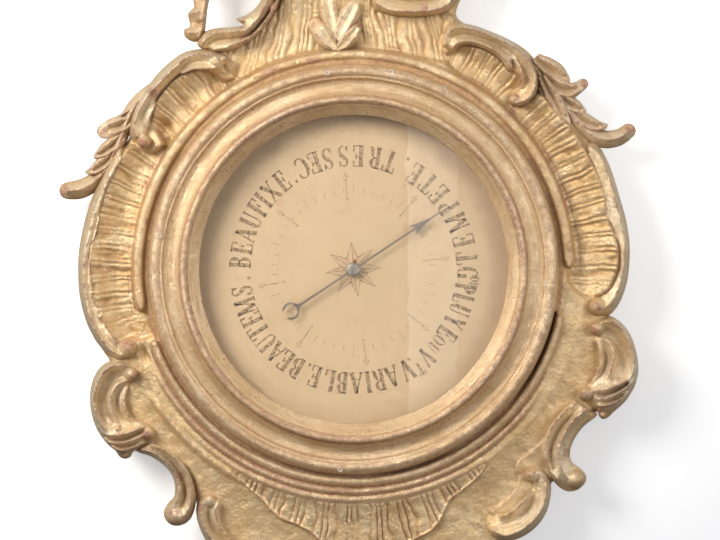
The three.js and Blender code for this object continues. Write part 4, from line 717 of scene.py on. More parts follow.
leaf("leaf_upper_right_4", [(571, 110, 4), (581, 119, 6.0), (592, 125, 5.4), (600, 126.4, 3.6), (608, 125.6, 1.0)], 44, UR, 125, tip_round=False)
leaf("leaf_upper_right_inner", [(541, 76, 3.4), (548, 89, 5.4), (555.4, 101.6, 6.2), (561.4, 113.6, 5.4), (564.6, 122.4, 4.8)], 48.5, UR, 126, lo=34, back=32, thick=16, bole=[(566, 126, 5)])
leaf("leaf_upper_right_small", [(540, 86, 2.2), (544.6, 95, 3.0), (549.4, 104.6, 3.0)], 47, UR, 127, lo=34, back=32, thick=14)

# ---- bottom shell: radial flutes fanning out below the ring
OUT["bottom_shell"] = [(228, 467), (236, 478), (248, 490), (260, 500), (271, 512), (281, 520), (292, 524), (302, 529), (312, 535), (326, 550), (340, 568), (354, 582), (370, 574),
                       (388, 560), (402, 548), (414, 541), (425, 536), (434, 530), (441, 521), (446, 511), (452, 500), (463, 492), (475, 482), (485, 471), (486, 461),
                       (462, 475), (440, 486.5), (420, 494), (400, 499), (380, 501.5), (355, 502.5), (330, 501.5), (308, 498), (285, 492), (262, 483), (240, 471)]


def shell():
    step = 0.7
    C = curve(OUT["bottom_shell"], True, 1.3)
    u0, v0 = C.min(0) - 2 * step; u1, v1 = C.max(0) + 2 * step
    U, V = np.meshgrid(np.arange(u0, u1 + step, step), np.arange(v0, v1 + step, step))
    ins = inside(U, V, C)
    d_out, _ = dist(U, V, C, True)
    r = np.hypot(U - CU, V - CV)
    n1 = noise(U, V, 26, 501); n2 = noise(U, V, 9, 502)
    fu, fv = 352.0, 300.0                                  # the flutes fan from above
    ang = np.degrees(np.arctan2(U - fu, V - fv))
    ph = ang / 2.05 + 0.34 * n1 + 0.20 * n2 + 0.3 * np.sin(ang * 0.9)
    rib = np.abs((ph % 1) * 2 - 1)                          # 0 on the ridge, 1 in the valley
    low = np.clip((r - 234) / 30, 0, 1)
    H = 38.4 + 7.4 * np.exp(-np.clip(r - 232, 0, None) / 15) + 2.0 * low
    on = smoothstep(0.0, 5.0, d_out)
    H = H + on * (0.9 * (1 - rib ** 2) - 1.5 * rib ** 4) * (0.75 + 0.5 * noise(U, V, 13, 505))
    # thin turned edge
    H = H + 1.5 * np.exp(-((d_out - 2.0) / 1.3) ** 2) * smoothstep(235, 241, r)
    H = H + 0.35 * noise(U, V, 14, 503) + 0.2 * noise(U, V, 4, 504)
    H = np.where(ins, H, 36.0)
    keep = inside(U[:-1, :-1] + step / 2, V[:-1, :-1] + step / 2, C)
    valley = np.clip(rib * 2.4 - 1.4, 0, 1) * on
    ob = grid_solid("carved_bottom_shell", U, V, keep, H, np.full(U.shape, 34.4), [C], GILT_GROUND, edge=H * 0.5 + 18.4, under=1.2,
                    attrs={"bole": valley * np.clip(0.35 + 0.5 * n2, 0, 1), "ochre": valley * 0.5, "matte": valley * 0.5, "tone": np.clip(0.5 + 0.6 * valley + 0.4 * n1, 0, 1)})
    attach(ob, "frame"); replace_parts(ob, "bottom_shell")


shell()

# ---- crest
relief("carved_crest_left_scroll", OUT["crest_left_scroll"], [
    ([(202, 44), (206, 36.5), (216, 32), (232, 31), (247, 29), (256, 20), (263, 9), (268, -4), (263, -24), (255, -44), (250.5, -66), (251.5, -86), (258, -108), (270, -128), (286, -142), (299, -143)], 0.7, 1, 1, 1, 1, 0.85),
    ([(205, 48), (216, 41), (234, 39), (250, 34.6), (262, 22), (272, 8), (276, -4), (270, -25), (262, -46), (258.5, -68), (260, -88), (266, -106), (276, -121), (290, -133)], 0.4, 0.25, 0.22, 0.22, 0.35),
    ([(214, 49.5), (232, 45.6), (247, 39), (258, 30), (270, 14), (278, -3), (273, -25), (266, -48), (262.5, -70), (265.5, -90), (274, -110), (287, -124)], 0.6, 0.9, 0.95, 0.9, 0.6),
    ([(240, 21), (247, 19), (255, 12)], 0.8, 0.7, 0.5),
], 36, 55.5, "crest_left_scroll", domes=[(300, -136, 8.4, 43, 1.2), (275, 8.5, 6.4, 44, 1.3)], seed=131, bole=[(275, 9, 9), (244, 40, 6)])
relief("carved_crest_right_scroll", OUT["crest_right_scroll"], [
    ([(376, 2), (388, 9), (402, 11.6), (422, 11), (441, 8), (452, 0), (460, -14), (467.6, -37), (469.4, -63), (463.6, -90), (450, -115), (433, -133), (416, -144)], 0.7, 1, 1, 1, 1, 0.8),
    ([(384, -4), (400, 2), (420, 2), (436, -1), (447, -10), (455, -26), (461, -46), (461, -66), (455, -88), (443, -109), (426, -126)], 0.4, 0.22, 0.22, 0.22, 0.35),
    ([(392, -12), (406, -7), (422, -9), (436, -16), (446, -28), (452, -44), (455, -64), (449.6, -86), (437, -105), (420, -120)], 0.6, 0.9, 0.95, 0.9, 0.6),
    ([(378, -12), (386, -30), (399, -45), (415, -54), (431, -51), (441, -42)], 0.8, 0.95, 0.95, 0.8),
    ([(390, -24), (402, -36), (418, -42), (430, -38)], 0.25, 0.2, 0.3),
], 36, 55.5, "crest_right_scroll", domes=[(411, -137, 8.4, 43, 1.2), (441, -40, 6.5, 43, 1.2)], seed=141, bole=[(441, -40, 7), (424, 8, 6)])
relief("carved_crest_finial", OUT["crest_finial"], [
    ([(350, -152), (350, -180), (350, -215), (350, -254)], 0.7, 1, 1, 0.75),
    ([(340, -153), (334, -180), (330, -210), (331, -246)], 0.6, 0.95, 0.95, 0.65),
    ([(360, -153), (367, -180), (371, -212), (371, -248)], 0.6, 0.95, 0.95, 0.65),
    ([(332, -154), (320, -176), (312, -196), (311, -216)], 0.6, 0.9, 0.9, 0.6),
    ([(368, -153), (382, -176), (391, -196), (395, -216)], 0.6, 0.9, 0.9, 0.6),
    ([(326, -160), (310, -174), (296, -190)], 0.5, 0.85, 0.6),
    ([(378, -156), (396, -170), (411, -188)], 0.5, 0.85, 0.6),
    ([(345, -160), (342, -195), (340, -232)], 0.35, 0.15, 0.2), ([(355, -160), (359, -195), (361, -232)], 0.35, 0.15, 0.2),
    ([(336, -162), (327, -190), (321, -222)], 0.35, 0.15, 0.2), ([(364, -162), (375, -190), (382, -222)], 0.35, 0.15, 0.2),
    ([(326, -168), (313, -184), (303, -202)], 0.35, 0.15, 0.2), ([(376, -166), (391, -182), (403, -202)], 0.35, 0.15, 0.2),
], 36, 54, "crest_finial", seed=151, bole=[(350, -246, 9), (300, -186, 7)])
relief("carved_crest_cabochon", OUT["cabochon"], [
    ([(352, -58), (364, -63), (374, -76), (378.5, -96), (374, -116), (364, -132), (352, -141), (340, -133), (330, -116), (325.5, -96), (330, -76), (340, -63), (351, -58)], 0.9),
    ([(352, -66), (361, -70), (368, -81), (371, -96), (368, -111), (361, -124), (352, -131), (343, -125), (336, -111), (333, -96), (336, -81), (343, -70), (351, -66)], 0.15),
    ([(352, -78), (352, -96), (352, -118)], 0.92),
], 36, 53, "crest_finial", seed=161, bole=[(352, -98, 9)], detail=0.1)
relief("carved_crest_sprig", OUT["crest_sprig"], [
    ([(200, 38), (203, 20), (205, 0), (206, -24), (206, -44), (208, -64), (216, -84), (230, -102), (241, -110)], 0.8, 0.9, 0.95, 0.9, 0.8, 0.5),
    ([(202, 30), (193, 33), (187, 32)], 0.85, 0.9, 0.5), ([(204, 10), (196, 12), (190, 14)], 0.85, 0.9, 0.5),
    ([(205, -16), (197, -12), (191, -10)], 0.85, 0.9, 0.5), ([(206, -38), (195, -39), (183, -36)], 0.85, 0.9, 0.5),
    ([(207, -60), (200, -66), (194, -74)], 0.85, 0.9, 0.5), ([(214, -80), (206, -88), (196, -93)], 0.85, 0.9, 0.5),
    ([(203, 22), (196, 24), (189, 25)], 0.25), ([(204, -2), (198, 0), (192, 4)], 0.25), ([(206, -28), (198, -26), (190, -24)], 0.25),
    ([(206, -50), (199, -52), (194, -54)], 0.25), ([(210, -72), (202, -78), (195, -84)], 0.25),
], 32, 47, "crest_sprig", mat=GILT_LEAF, thick=9, seed=171, back=28, under=1.0)
leaf("carved_crest_fleuron_mid", [(336, 42, 3.4), (333, 30, 5.8), (330, 16, 7.4), (328, 3, 7.2), (330, -9, 5.2), (335, -20, 1.2)], 45.5, "crest_fleuron", 181, lo=37, back=34.4, thick=None, tip_round=False, mid=0.72, edge=0.12, mat=GILT)
leaf("carved_crest_fleuron_back", [(336, 42, 3.4), (340.4, 32, 6.2), (346, 21, 8.0), (351.6, 11, 7.6), (356, 3, 5.0), (359, -4, 1.6)], 47.5, "crest_fleuron", 183, lo=37, back=34.4, thick=None, tip_round=False, mid=0.74, edge=0.12, mat=GILT)
leaf("carved_crest_fleuron_left", [(338, 50, 2.4), (331.4, 44, 5.6), (324.4, 36.6, 7.2), (318.6, 29, 6.8), (315.6, 24.6, 5.6)], 50.5, "crest_fleuron", 186, lo=37.5, back=34.4, thick=None, mid=0.72, edge=0.12, mat=GILT, bole=[(313, 25, 4)])
leaf("carved_crest_fleuron_right", [(336, 50, 2.4), (343.6, 43.8, 5.6), (350.8, 36, 6.0), (356.4, 28.6, 4.2), (361.4, 22.4, 1.0)], 51, "crest_fleuron", 191, lo=37.5, back=34.4, thick=None, tip_round=False, mid=0.72, edge=0.12, mat=GILT, bole=[(359, 25, 4)])

# ---- pendant
relief("carved_pendant_left_scroll", OUT["pendant_left_scroll"], [
    ([(268, 573), (282, 588), (298, 604), (316, 619), (334, 632), (349, 643)], 0.8, 1, 1, 0.8),
    ([(274, 572), (288, 585), (304, 600), (322, 615), (342, 630)], 0.3),
], 35, 50, "pendant_left_scroll" if "pendant_left_scroll" in frame["nodes"] else "pendant_leaf", seed=191)
relief("carved_pendant_right_scroll", OUT["pendant_right_scroll"], [
    ([(484, 547), (470, 561), (452, 579), (432, 600), (410, 617), (386, 630), (358, 634)], 0.8, 1, 1, 0.8),
    ([(474, 549), (460, 562), (441, 582), (418, 601), (394, 616), (366, 626)], 0.3),
], 35, 50, "pendant_right_scroll" if "pendant_right_scroll" in frame["nodes"] else "pendant_leaf", seed=201)
relief("carved_pendant_leaf", OUT["pendant_leaf"], [
    ([(353, 611), (353, 640), (353, 668), (353, 692)], 0.8, 1, 1, 0.7),
    ([(350, 645), (338, 660), (333, 676), (338, 687)], 0.7, 0.95, 0.95, 0.6), ([(357, 645), (368, 660), (375, 674), (372, 685)], 0.7, 0.95, 0.95, 0.6),
    ([(346, 644), (330, 654), (321, 666)], 0.7, 0.9, 0.6), ([(362, 643), (378, 654), (387, 665)], 0.7, 0.9, 0.6),
    ([(351, 650), (345, 668), (345, 688)], 0.2), ([(356, 650), (362, 668), (362, 688)], 0.2), ([(345, 650), (330, 668), (327, 677)], 0.2), ([(362, 650), (378, 666), (380, 679)], 0.2),
], 36, 50.5, "pendant_leaf", seed=211, bole=[(353, 690, 7)])


# ---------------------------------------------------------------- the carved ground with its bands, coves and matte fields
def ground():
    step = 1.0
    G = [(u, v) for u, v in OUT["ground"]]
    C = curve(G, True, 2.2)
    u0, v0 = C.min(0) - 2 * step; u1, v1 = C.max(0) + 2 * step
    U, V = np.meshgrid(np.arange(u0, u1 + step, step), np.arange(v0, v1 + step, step))
    ins = inside(U, V, C)
    dO, _ = dist(U, V, C, True)
    r = np.hypot(U - CU, V - CV)
    th = np.degrees(np.arctan2(U - CU, -(V - CV))) % 360        # clockwise from the top
    n1, n2, n3 = noise(U, V, 30, 301), noise(U, V, 11, 302), noise(U, V, 4.5, 303)
    H = 36.4 + 9.0 * np.exp(-np.clip(r - 233, 0, None) / 22.0) + 0.6 * n1 + 0.35 * n2 + 0.15 * n3
    ochre, matte, bole = np.full(U.shape, 0.25), np.full(U.shape, 0.75), np.zeros(U.shape)

    # coves: concave fields between the ring and the outer carvings, cut with radial flutes
    def cove(key, r_in, lift, focal, period, seed, wob, amp, fade=None):
        nonlocal H, ochre, matte, bole
        P = curve(OUT[key], True, 3)
        m = inside(U, V, P)
        dp, _ = dist(U, V, P, True)
        soft = np.where(m, 1.0, smoothstep(6.0, 1.0, dp))
        d_in = np.clip(r - r_in, 0, None)
        d_far = dp
        if focal is None:
            ang = th; k = np.clip(d_in / 34.0, 0, 1.6)
        else:
            ang = np.degrees(np.arctan2(U - focal[0], V - focal[1])); k = np.clip(d_in / 60.0, 0, 1.05); soft = soft * smoothstep(-50, -14, V)
        base = 39.4 - (3.6 if focal is None else 2.0) * np.sin(np.clip(k, 0, 1) * np.pi) + lift * k ** 1.9
        wb = wob * noise(U, V, 22, seed) + 0.35 * wob * noise(U, V, 8, seed + 1)
        # uneven spacing: the phase is bent by a slow noise along the angle
        ph = ang / period + wb + 0.35 * np.sin(ang * 1.7 + seed) + 0.25 * np.sin(ang * 0.63 + 2 * seed)
        rib = np.abs((ph % 1) * 2 - 1)
        rows = 0.55 + 0.45 * noise(U, V, 15, seed + 5)
        a = amp * np.clip(rows, 0.18, 1) * (fade(U, V) if fade else 1)
        env = smoothstep(-0.02, 0.10, k)
        rib2 = np.abs(((ph * 2.3 + 0.4 * n1) % 1) * 2 - 1)
        Hc = base + a * env * (0.8 * (1 - rib ** 2) - 1.15 * rib ** 4) + 0.25 * a * env * (0.5 - rib2)
        H = H * (1 - soft) + Hc * soft
        oc = np.clip(0.12 + 0.85 * rib ** 2 - 0.1 * n2, 0, 1)
        bole = np.where(soft > 0.5, np.clip(rib * 3 - 2.1, 0, 1) * np.clip(0.45 + 0.6 * n2, 0, 1), bole)
        ochre = ochre * (1 - soft) + oc * soft
        matte = matte * (1 - soft) + (0.15 + 0.4 * rib) * soft
        if focal is not None:
            matte = np.maximum(matte, 0.8 * smoothstep(8, -22, V))

    cove("left_cove", 221, 6.5, None, 1.9, 311, 0.34, 1.9, lambda U, V: 0.12 + 0.88 * smoothstep(326, 296, V))
    cove("upper_left_cove", 221, 6.0, None, 1.9, 321, 0.32, 1.8)
    cove("top_cove", 221, 4.6, (340, -300), 1.04, 331, 0.40, 1.7, lambda U, V: 0.8 + 0.2 * smoothstep(-60, 0, V))
    cove("upper_right_cove", 221, 6.0, None, 1.85, 341, 0.32, 1.7)
    cove("right_cove", 212, 6.5, None, 1.85, 351, 0.34, 1.9, lambda U, V: 0.15 + 0.85 * smoothstep(292, 262, V))

    # bands that run round the ring
    def band(mask, ra, rb, top, seed, sharp=0.5, oc=0.0, bo=0.0):
        nonlocal H, ochre, matte, bole
        x = np.clip((r - ra) / (rb - ra), 0, 1)
        prof = np.clip(1 - np.abs(2 * x - 1) ** 2.6, 0, 1) ** sharp
        w = ((r > ra) & (r < rb)) * mask
        h = 43.4 + (top - 43.4) * prof + 0.35 * noise(U, V, 13, seed) + 0.18 * noise(U, V, 4, seed + 1)
        H = np.where(w > 0.02, h * w + (1 - w) * H, H)
        ochre = np.where(w > 0.5, oc + 0.5 * (1 - prof), ochre)
        matte = np.where(w > 0.5, 0.15 + 0.5 * (1 - prof), matte)
        bole = np.where(w > 0.5, bo, bole)

    groove = (r > 203) & (r < 210.5)
    H = np.where(groove, 46.0 + 2.6 * smoothstep(75, 35, np.minimum(th, 360 - th)) + 0.3 * n2, H)
    ochre = np.where(groove, 0.9, ochre); matte = np.where(groove, 0.9, matte); bole = np.where(groove, 0.55 * (np.abs(r - 208.5) < 2.2), bole)
    a_rel = (th - 259) % 360                                     # upper band: 259 deg over the top to 89.5 deg
    endA = np.minimum(a_rel * 3.7, (190.5 - a_rel) * 3.7)        # run of length to either end, in plan units
    wA = (a_rel < 190.5) * smoothstep(0, 10, endA)
    narrow = 5.4 * (1 - np.sqrt(np.clip(1 - (1 - np.clip(endA / 13, 0, 1)) ** 2, 0, 1)))
    outer = 221.5 - 1.5 * smoothstep(60, 0, np.abs(th - 180) * 0 + np.minimum(th, 360 - th))
    x = np.clip((r - (210 + narrow)) / np.maximum(outer - 210 - 2 * narrow, 0.5), 0, 1)
    prof = np.clip(1 - np.abs(2 * x - 1) ** 3.0, 0, 1) ** 0.5
    inA = (a_rel < 190.5) & (r > 210 + narrow) & (r < outer - narrow)
    H = np.where(inA, 46.2 + 4.6 * prof + 0.4 * noise(U, V, 16, 361) + 0.2 * noise(U, V, 5, 362), H)
    ochre = np.where(inA, 0.05 + 0.4 * (1 - prof), ochre); matte = np.where(inA, 0.25, matte)
    bole = np.where(inA, np.clip(noise(U, V, 9, 363) - 0.35, 0, 1) * 1.2, bole)

    for rl, wl in ((203.9, 0.9), (209.6, 0.7), (221.9, 1.0), (225.5, 0.7)):
        ln = (np.abs(r - rl) < wl) & ((a_rel < 60) | (a_rel > 100) | (rl < 215)) & (a_rel < 190)
        bole = np.where(ln, np.clip(0.45 + 0.7 * noise(U, V, 15, 364), 0, 1), bole); H = np.where(ln, H - 0.5, H)
    b_rel = (th - 102) % 360                                     # lower bands: 102 deg under the ring to 250.7 deg
    endB = np.minimum(b_rel * 3.9, (148.7 - b_rel) * 3.9)
    inB = b_rel < 148.7
    e = smoothstep(0, 16, endB) * inB
    gap = inB & (r > 203) & (r < 208)
    deep = smoothstep(30, 12, b_rel) + smoothstep(14, 4, np.abs(th - 163)) * 0.6
    H = np.where(gap, 47.0 - 7.5 * np.clip(deep, 0, 1) * (r < 207.2), H); ochre = np.where(gap, 0.5, ochre); matte = np.where(gap, 1.0, matte); bole = np.where(gap, 0.85, bole)
    tipk = 5.0 * (1 - np.sqrt(np.clip(1 - (1 - np.clip(endB / 11, 0, 1)) ** 2, 0, 1)))    # rounded finger-like ends
    band(smoothstep(0, 3, endB) * inB * (r > 207.4 + tipk) * (r < 217.6 - tipk), 207.4, 217.6, 51.0, 371, 0.42, 0.0, 0.25)
    band(smoothstep(16, 34, b_rel) * smoothstep(146, 128, b_rel), 218.4, 225.6, 48.6, 381, 0.5, 0.05, 0.4)
    band(smoothstep(40, 58, b_rel) * smoothstep(132, 104, b_rel), 226.4, 233.6, 46.8, 391, 0.55, 0.1, 0.3)
    for rl, a0, a1 in ((218.0, 118, 248), (226.0, 142, 228)):                              # reddish lines between the bands
        ln = (np.abs(r - rl) < 0.9) & (th > a0) & (th < a1)
        bole = np.where(ln, 0.9, bole); ochre = np.where(ln, 0.6, ochre)

    # a raised lower-left strip outside the bands
    for (a0, a1, seed) in ((204, 240, 401),):
        m = smoothstep(0, 6, np.minimum(th - a0, a1 - th)) * ((th > a0) & (th < a1))
        x = np.clip((r - 235) / 7.5, 0, 1)
        p = np.clip(1 - np.abs(2 * x - 1) ** 2.2, 0, 1) ** 0.6
        w = m * ((r > 235) & (r < 242.5))
        H = np.where(w > 0.02, H + 3.2 * p * w, H)

    SH = curve(OUT["bottom_shell"], True, 2.0)
    ds, _ = dist(U, V, SH, True)
    H = H - 5.0 * smoothstep(1.0, 4.5, ds) * inside(U, V, SH) * (r > 233.8)
    # hollows beside the volutes, carved lower and darkened through tone and ochre as painted shade
    hollow_pit_shade = np.zeros(U.shape)
    for cu_, cv_, R_ in ((148, 353, 7.5), (166, 128, 9), (171, 143, 8), (229, 75, 7), (519, 101, 6)):
        hollow_pit_shade = np.maximum(hollow_pit_shade, np.exp(-((U - cu_) ** 2 + (V - cv_) ** 2) / R_ ** 2) * (r > 222.5))
    H = H - 4.5 * hollow_pit_shade
    ochre = np.clip(ochre + 0.6 * hollow_pit_shade, 0, 1)
    # a stepped terrace beside the right-hand base scroll
    TR = curve([(556, 432), (541, 441), (530, 450), (521, 457.5), (516, 464), (515, 471), (517, 477), (515.4, 486), (508, 496), (499, 503), (490, 512), (496, 526), (520, 520), (545, 500), (556, 470), (560, 450)], True, 2.0)
    dt, _ = dist(U, V, TR, True)
    H = H + 2.6 * smoothstep(-0.2, 1.8, dt) * inside(U, V, TR)
    bole = np.where((dt < 1.2) & (r > 236), np.maximum(bole, 0.55), bole)
    # soft gouge marks on the plain fields
    plain = (r > 236) & (matte > 0.6)
    H = np.where(plain, H + 0.45 * noise(U, V, 7, 421), H)
    # the ground is rounded over towards its outer edge
    H = H - 4.5 * (1 - smoothstep(0, 5.5, dO)) ** 1.5
    H = blur(H, 1)
    R0 = 199.0
    circ = np.array([(CU + R0 * math.sin(t), CV - R0 * math.cos(t)) for t in np.linspace(0, 2 * math.pi, 420, endpoint=False)])
    Uc, Vc = U[:-1, :-1] + step / 2, V[:-1, :-1] + step / 2
    keep = inside(Uc, Vc, C) & (np.hypot(Uc - CU, Vc - CV) > R0)
    H = np.where(r < 204.2, 34.1, H)
    ob = grid_solid("ground_carving", U, V, keep, H, np.full(U.shape, 20.6), [C, circ[::-1]], GILT_GROUND, edge=None, under=0.0,
                    attrs={"bole": bole, "ochre": np.clip(ochre, 0, 1), "matte": np.clip(matte, 0, 1), "tone": np.clip(0.15 + 1.2 * hollow_pit_shade + 0.45 * inA + 0.55 * noise(U, V, 24, 431) + 0.4 * noise(U, V, 7, 432), 0, 1)}, smooth_angle=68)
    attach(ob, "frame"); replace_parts(ob, "ground_board")
    return ob


ground()


def boolean_cut(ob, tool):
    md = ob.modifiers.new("cut", "BOOLEAN")
    md.operation, md.object, md.solver = "DIFFERENCE", tool, "EXACT"
    dg = bpy.context.evaluated_depsgraph_get()
    me = bpy.data.meshes.new_from_object(ob.evaluated_get(dg))
    ob.modifiers.clear()
    old = ob.data
    ob.data = me
    bpy.data.meshes.remove(old)
    bpy.data.objects.remove(tool)


def prism(name, pts_mm, h0, h1, mat, smooth_angle=40, bevel=0.0):
    """Closed plate with an (X, Z) outline in mm between two heights."""
    P = np.asarray(pts_mm, float)
    A = 0.5 * np.sum(P[:, 0] * np.roll(P[:, 1], -1) - np.roll(P[:, 0], -1) * P[:, 1])
    if A < 0:
        P = P[::-1]
    n = len(P)
    f = np.column_stack([P[:, 0], np.full(n, -h1), P[:, 1]]); b = np.column_stack([P[:, 0], np.full(n, -h0), P[:, 1]])
    faces = [list(range(n)), list(range(2 * n - 1, n - 1, -1))] + [[(i + 1) % n, i, n + i, n + (i + 1) % n] for i in range(n)]
    ob = make_object(name, np.concatenate([f, b]) * 0.001, faces, mat, smooth_angle)
    return ob


def ground_back():
    C = curve(OUT["ground"], True, 3.5)
    # set in slightly from the carved edge; drawn at the height of the joint
    Cn = C + _inward(C) * 1.6
    k = (D - 20) / F
    pts = np.column_stack([XC + (Cn[:, 0] - 360) * k, ZC + (270 - Cn[:, 1]) * k])
    ob = prism("ground_back", pts, 0.05, 20.5, WOOD, 50)
    a = np.linspace(0, 2 * np.pi, 128, endpoint=False)
    hole = prism("tool1", np.column_stack([58.0 * np.cos(a), 58.0 * np.sin(a)]), -5, 40, WOOD)
    boolean_cut(ob, hole)
    pocket = prism("tool2", [(1.5 - 22, 300 - 46), (1.5 + 22, 300 - 46), (1.5 + 22, 300 + 46), (1.5 - 22, 300 + 46)], -5, 9, WOOD)
    boolean_cut(ob, pocket)
    ob.data.polygons.foreach_set("use_smooth", np.ones(len(ob.data.polygons), bool))
    ob.data.set_sharp_from_angle(angle=math.radians(35))
    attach(ob, "frame"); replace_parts(ob, "ground_board")
    # the inner part of the ground under the dial, around the movement's flange
    inner = lathe("ground_front_disc", [(58, 20.7), (58, 30.9), (67.6, 31.0), (67.6, 33.6), (68.2, 34.0), (178.8, 34.0), (179.3, 33.6), (179.3, 20.7)], WOOD, 160)
    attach(inner, "frame"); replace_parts(inner, "ground_board")


ground_back()

# ---------------------------------------------------------------- ring moulding
RING = [(144.2, 34.3), (182.0, 34.3), (183.8, 35.6), (184.5, 38.2), (184.5, 43), (184.1, 47.6), (183.4, 51.6), (182.2, 55), (180.6, 57.8), (179, 59.6), (177.2, 60.5), (175.6, 60.5), (174.0, 59.9),
        (173.1, 59.0), (172.7, 58.5), (172.0, 58.2), (170.9, 58.3), (170.2, 58.0), (169.8, 57.0), (169.1, 56.1), (167.4, 55.2), (165, 54.7), (162.4, 54.9), (160, 55.7), (157.9, 57.2), (156.4, 59.2),
        (155.6, 60.4), (154.9, 60.9), (154.4, 61.5), (154.2, 63.0), (153.9, 64.4), (153.0, 65.4), (151.8, 65.9), (150.4, 65.9), (149.2, 65.3), (148.4, 64.4), (148.0, 63.2), (147.4, 62.5), (146.6, 62.2),
        (146.0, 61.6), (144.0, 58.6), (142.0, 55.6), (139.8, 52.2), (139.0, 50.8), (138.3, 50.1), (138.2, 49.0), (138.2, 48.1), (144.2, 48.1)]


def ring_bole(R, T):
    # the bead is rubbed along both its flanks, in long streaks; thin dark lines run beside it and at the fillet
    p = noise(R * np.cos(T) * 0.9 + 300, R * np.sin(T) * 0.9 + 300, 22, 611) * 0.5 + 0.5
    q = noise(R * 3.0 + 300, T * 40 + 300, 7, 612) * 0.5 + 0.5
    flank = np.exp(-((R - 149.3) / 1.3) ** 2) + np.exp(-((R - 153.6) / 1.0) ** 2)
    line = np.exp(-((R - 155.2) / 0.6) ** 2) + 0.8 * np.exp(-((R - 147.6) / 0.6) ** 2) + 0.7 * np.exp(-((R - 172.6) / 0.6) ** 2) + 0.6 * np.exp(-((R - 169.8) / 0.5) ** 2)
    return np.clip(flank * (0.15 + 0.95 * p) * (0.4 + 0.9 * q) + line * (0.35 + 0.65 * p), 0, 1)


def ring_ochre(R, T):
    g = np.exp(-((R - 154.6) / 0.8) ** 2) + np.exp(-((R - 147.4) / 0.8) ** 2) + 0.6 * np.exp(-((R - 170.2) / 0.9) ** 2)
    return np.clip(g + 0.9 * (R > 183.0), 0, 1)


ring = lathe("turned_ring_moulding", RING, GILT_RING, 420, attrs={"bole": ring_bole, "ochre": ring_ochre, "matte": lambda R, T: 0.25 + 0 * R,
             "tone": lambda R, T: np.clip(0.22 + 0.8 * noise(R * 1.3 + 200, T * 5.0 + 90, 2.3, 621) * (0.5 + 0.5 * noise(R + 200, T * 30 + 300, 9, 622)) + 0.35 * noise(R * np.cos(T) + 300, R * np.sin(T) + 300, 31, 623), 0, 1)}, jitter=0.20, seed=601)
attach(ring, "frame"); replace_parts(ring, "ring_moulding")

spacer = lathe("wood_glass_spacer", [(139.0, 36.7), (143.2, 36.7), (143.6, 37.1), (143.6, 44.8), (143.2, 45.2), (139.4, 45.2), (139.0, 44.8)],
               GILT_RING, 200, attrs={"bole": lambda R, T: 0 * R + 0.15, "ochre": lambda R, T: 0 * R + 0.6, "matte": lambda R, T: 0 * R + 0.5})
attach(spacer, "frame"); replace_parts(spacer, "glass_spacer")

# ---------------------------------------------------------------- nails in the ring
for i, (x, z) in enumerate([(-23.9, 179.2), (34.6, 179.8), (82.5, 165.0), (-176.5, 31.0), (176.0, -13.0), (-12.0, -182.5)]):
    x, z = x * 0.974, z * 0.974
    top = float(np.interp(math.hypot(x, z), [170.0, 172.0, 174.0, 177.2, 179.0, 180.6, 182.2], [58.0, 58.2, 59.9, 60.5, 59.6, 57.8, 55.0])) + 0.25
    nail = spindle(f"nail_{i + 1}", [(0, 20), (0.45, 21), (0.75, 23), (0.75, top - 1.2), (1.9, top - 1.0), (2.35, top - 0.1), (2.2, top + 0.35), (1.75, top + 0.5), (1.25, top + 0.15), (1.0, top - 0.7), (0.5, top - 0.9), (0, top - 0.85)], NAIL, 22, x, z)
    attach(nail, "frame"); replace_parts(nail, f"ring_pin_{i + 1}")

# ---------------------------------------------------------------- dial card
def card_material():
    m, nt, b = mat_new("dial_card_aged")
    n = N(nt)
    co = n.coord()
    sep = n.node("ShaderNodeSeparateXYZ"); n.link(co, sep.inputs[0])
    x, z = sep.outputs["X"], sep.outputs["Z"]
    r = n.math("SQRT", n.math("ADD", n.math("MULTIPLY", x, x), n.math("MULTIPLY", z, z)))
    base = n.mix(n.ramp(n.noise(co, 22, 5, 0.6), [(0.3, 0.0), (0.7, 1.0)]), (0.396, 0.283, 0.168), (0.434, 0.315, 0.191))
    fibre = n.noise(n.coord((1, 1, 5)), 900, 3, 0.6)
    base = n.mix(n.ramp(fibre, [(0.40, 0.22), (0.62, 0.0)]), base, (0.42, 0.30, 0.18))
    # foxing, and a brown rim where the card meets the frame that is painted shadow of the ring, deeper towards the top
    fox = n.ramp(n.noise(co, 75, 6, 0.68), [(0.56, 0.0), (0.72, 1.0)])
    base = n.mix(n.math("MULTIPLY", fox, 0.45), base, (0.36, 0.22, 0.12))
    rim = n.ramp(n.math("ADD", n.math("MULTIPLY", r, 7.0), n.math("MULTIPLY", n.noise(co, 40, 4), 0.10)), [(0.90, 0.0), (1.02, 1.0)])
    # painted shadow of the ring on the card's edge, stronger towards the top
    base = n.mix(n.math("MULTIPLY", rim, n.math("ADD", n.math("MULTIPLY", z, 2.2), 0.55), True), base, (0.24, 0.16, 0.09))
    sp = n.ramp(n.noise(co, 1400, 2), [(0.70, 0.0), (0.75, 1.0)])
    base = n.mix(n.math("MULTIPLY", sp, 0.5), base, (0.20, 0.12, 0.07))
    n.link(base, b.inputs["Base Color"])
    b.inputs["Roughness"].default_value = 0.85
    b.inputs["Specular IOR Level"].default_value = 0.25
    bp = n.node("ShaderNodeBump"); bp.inputs["Strength"].default_value = 0.25; bp.inputs["Distance"].default_value = 0.0003
    n.link(n.math("ADD", fibre, n.noise(co, 120, 4)), bp.inputs["Height"]); n.link(bp.outputs["Normal"], b.inputs["Normal"])
    return m


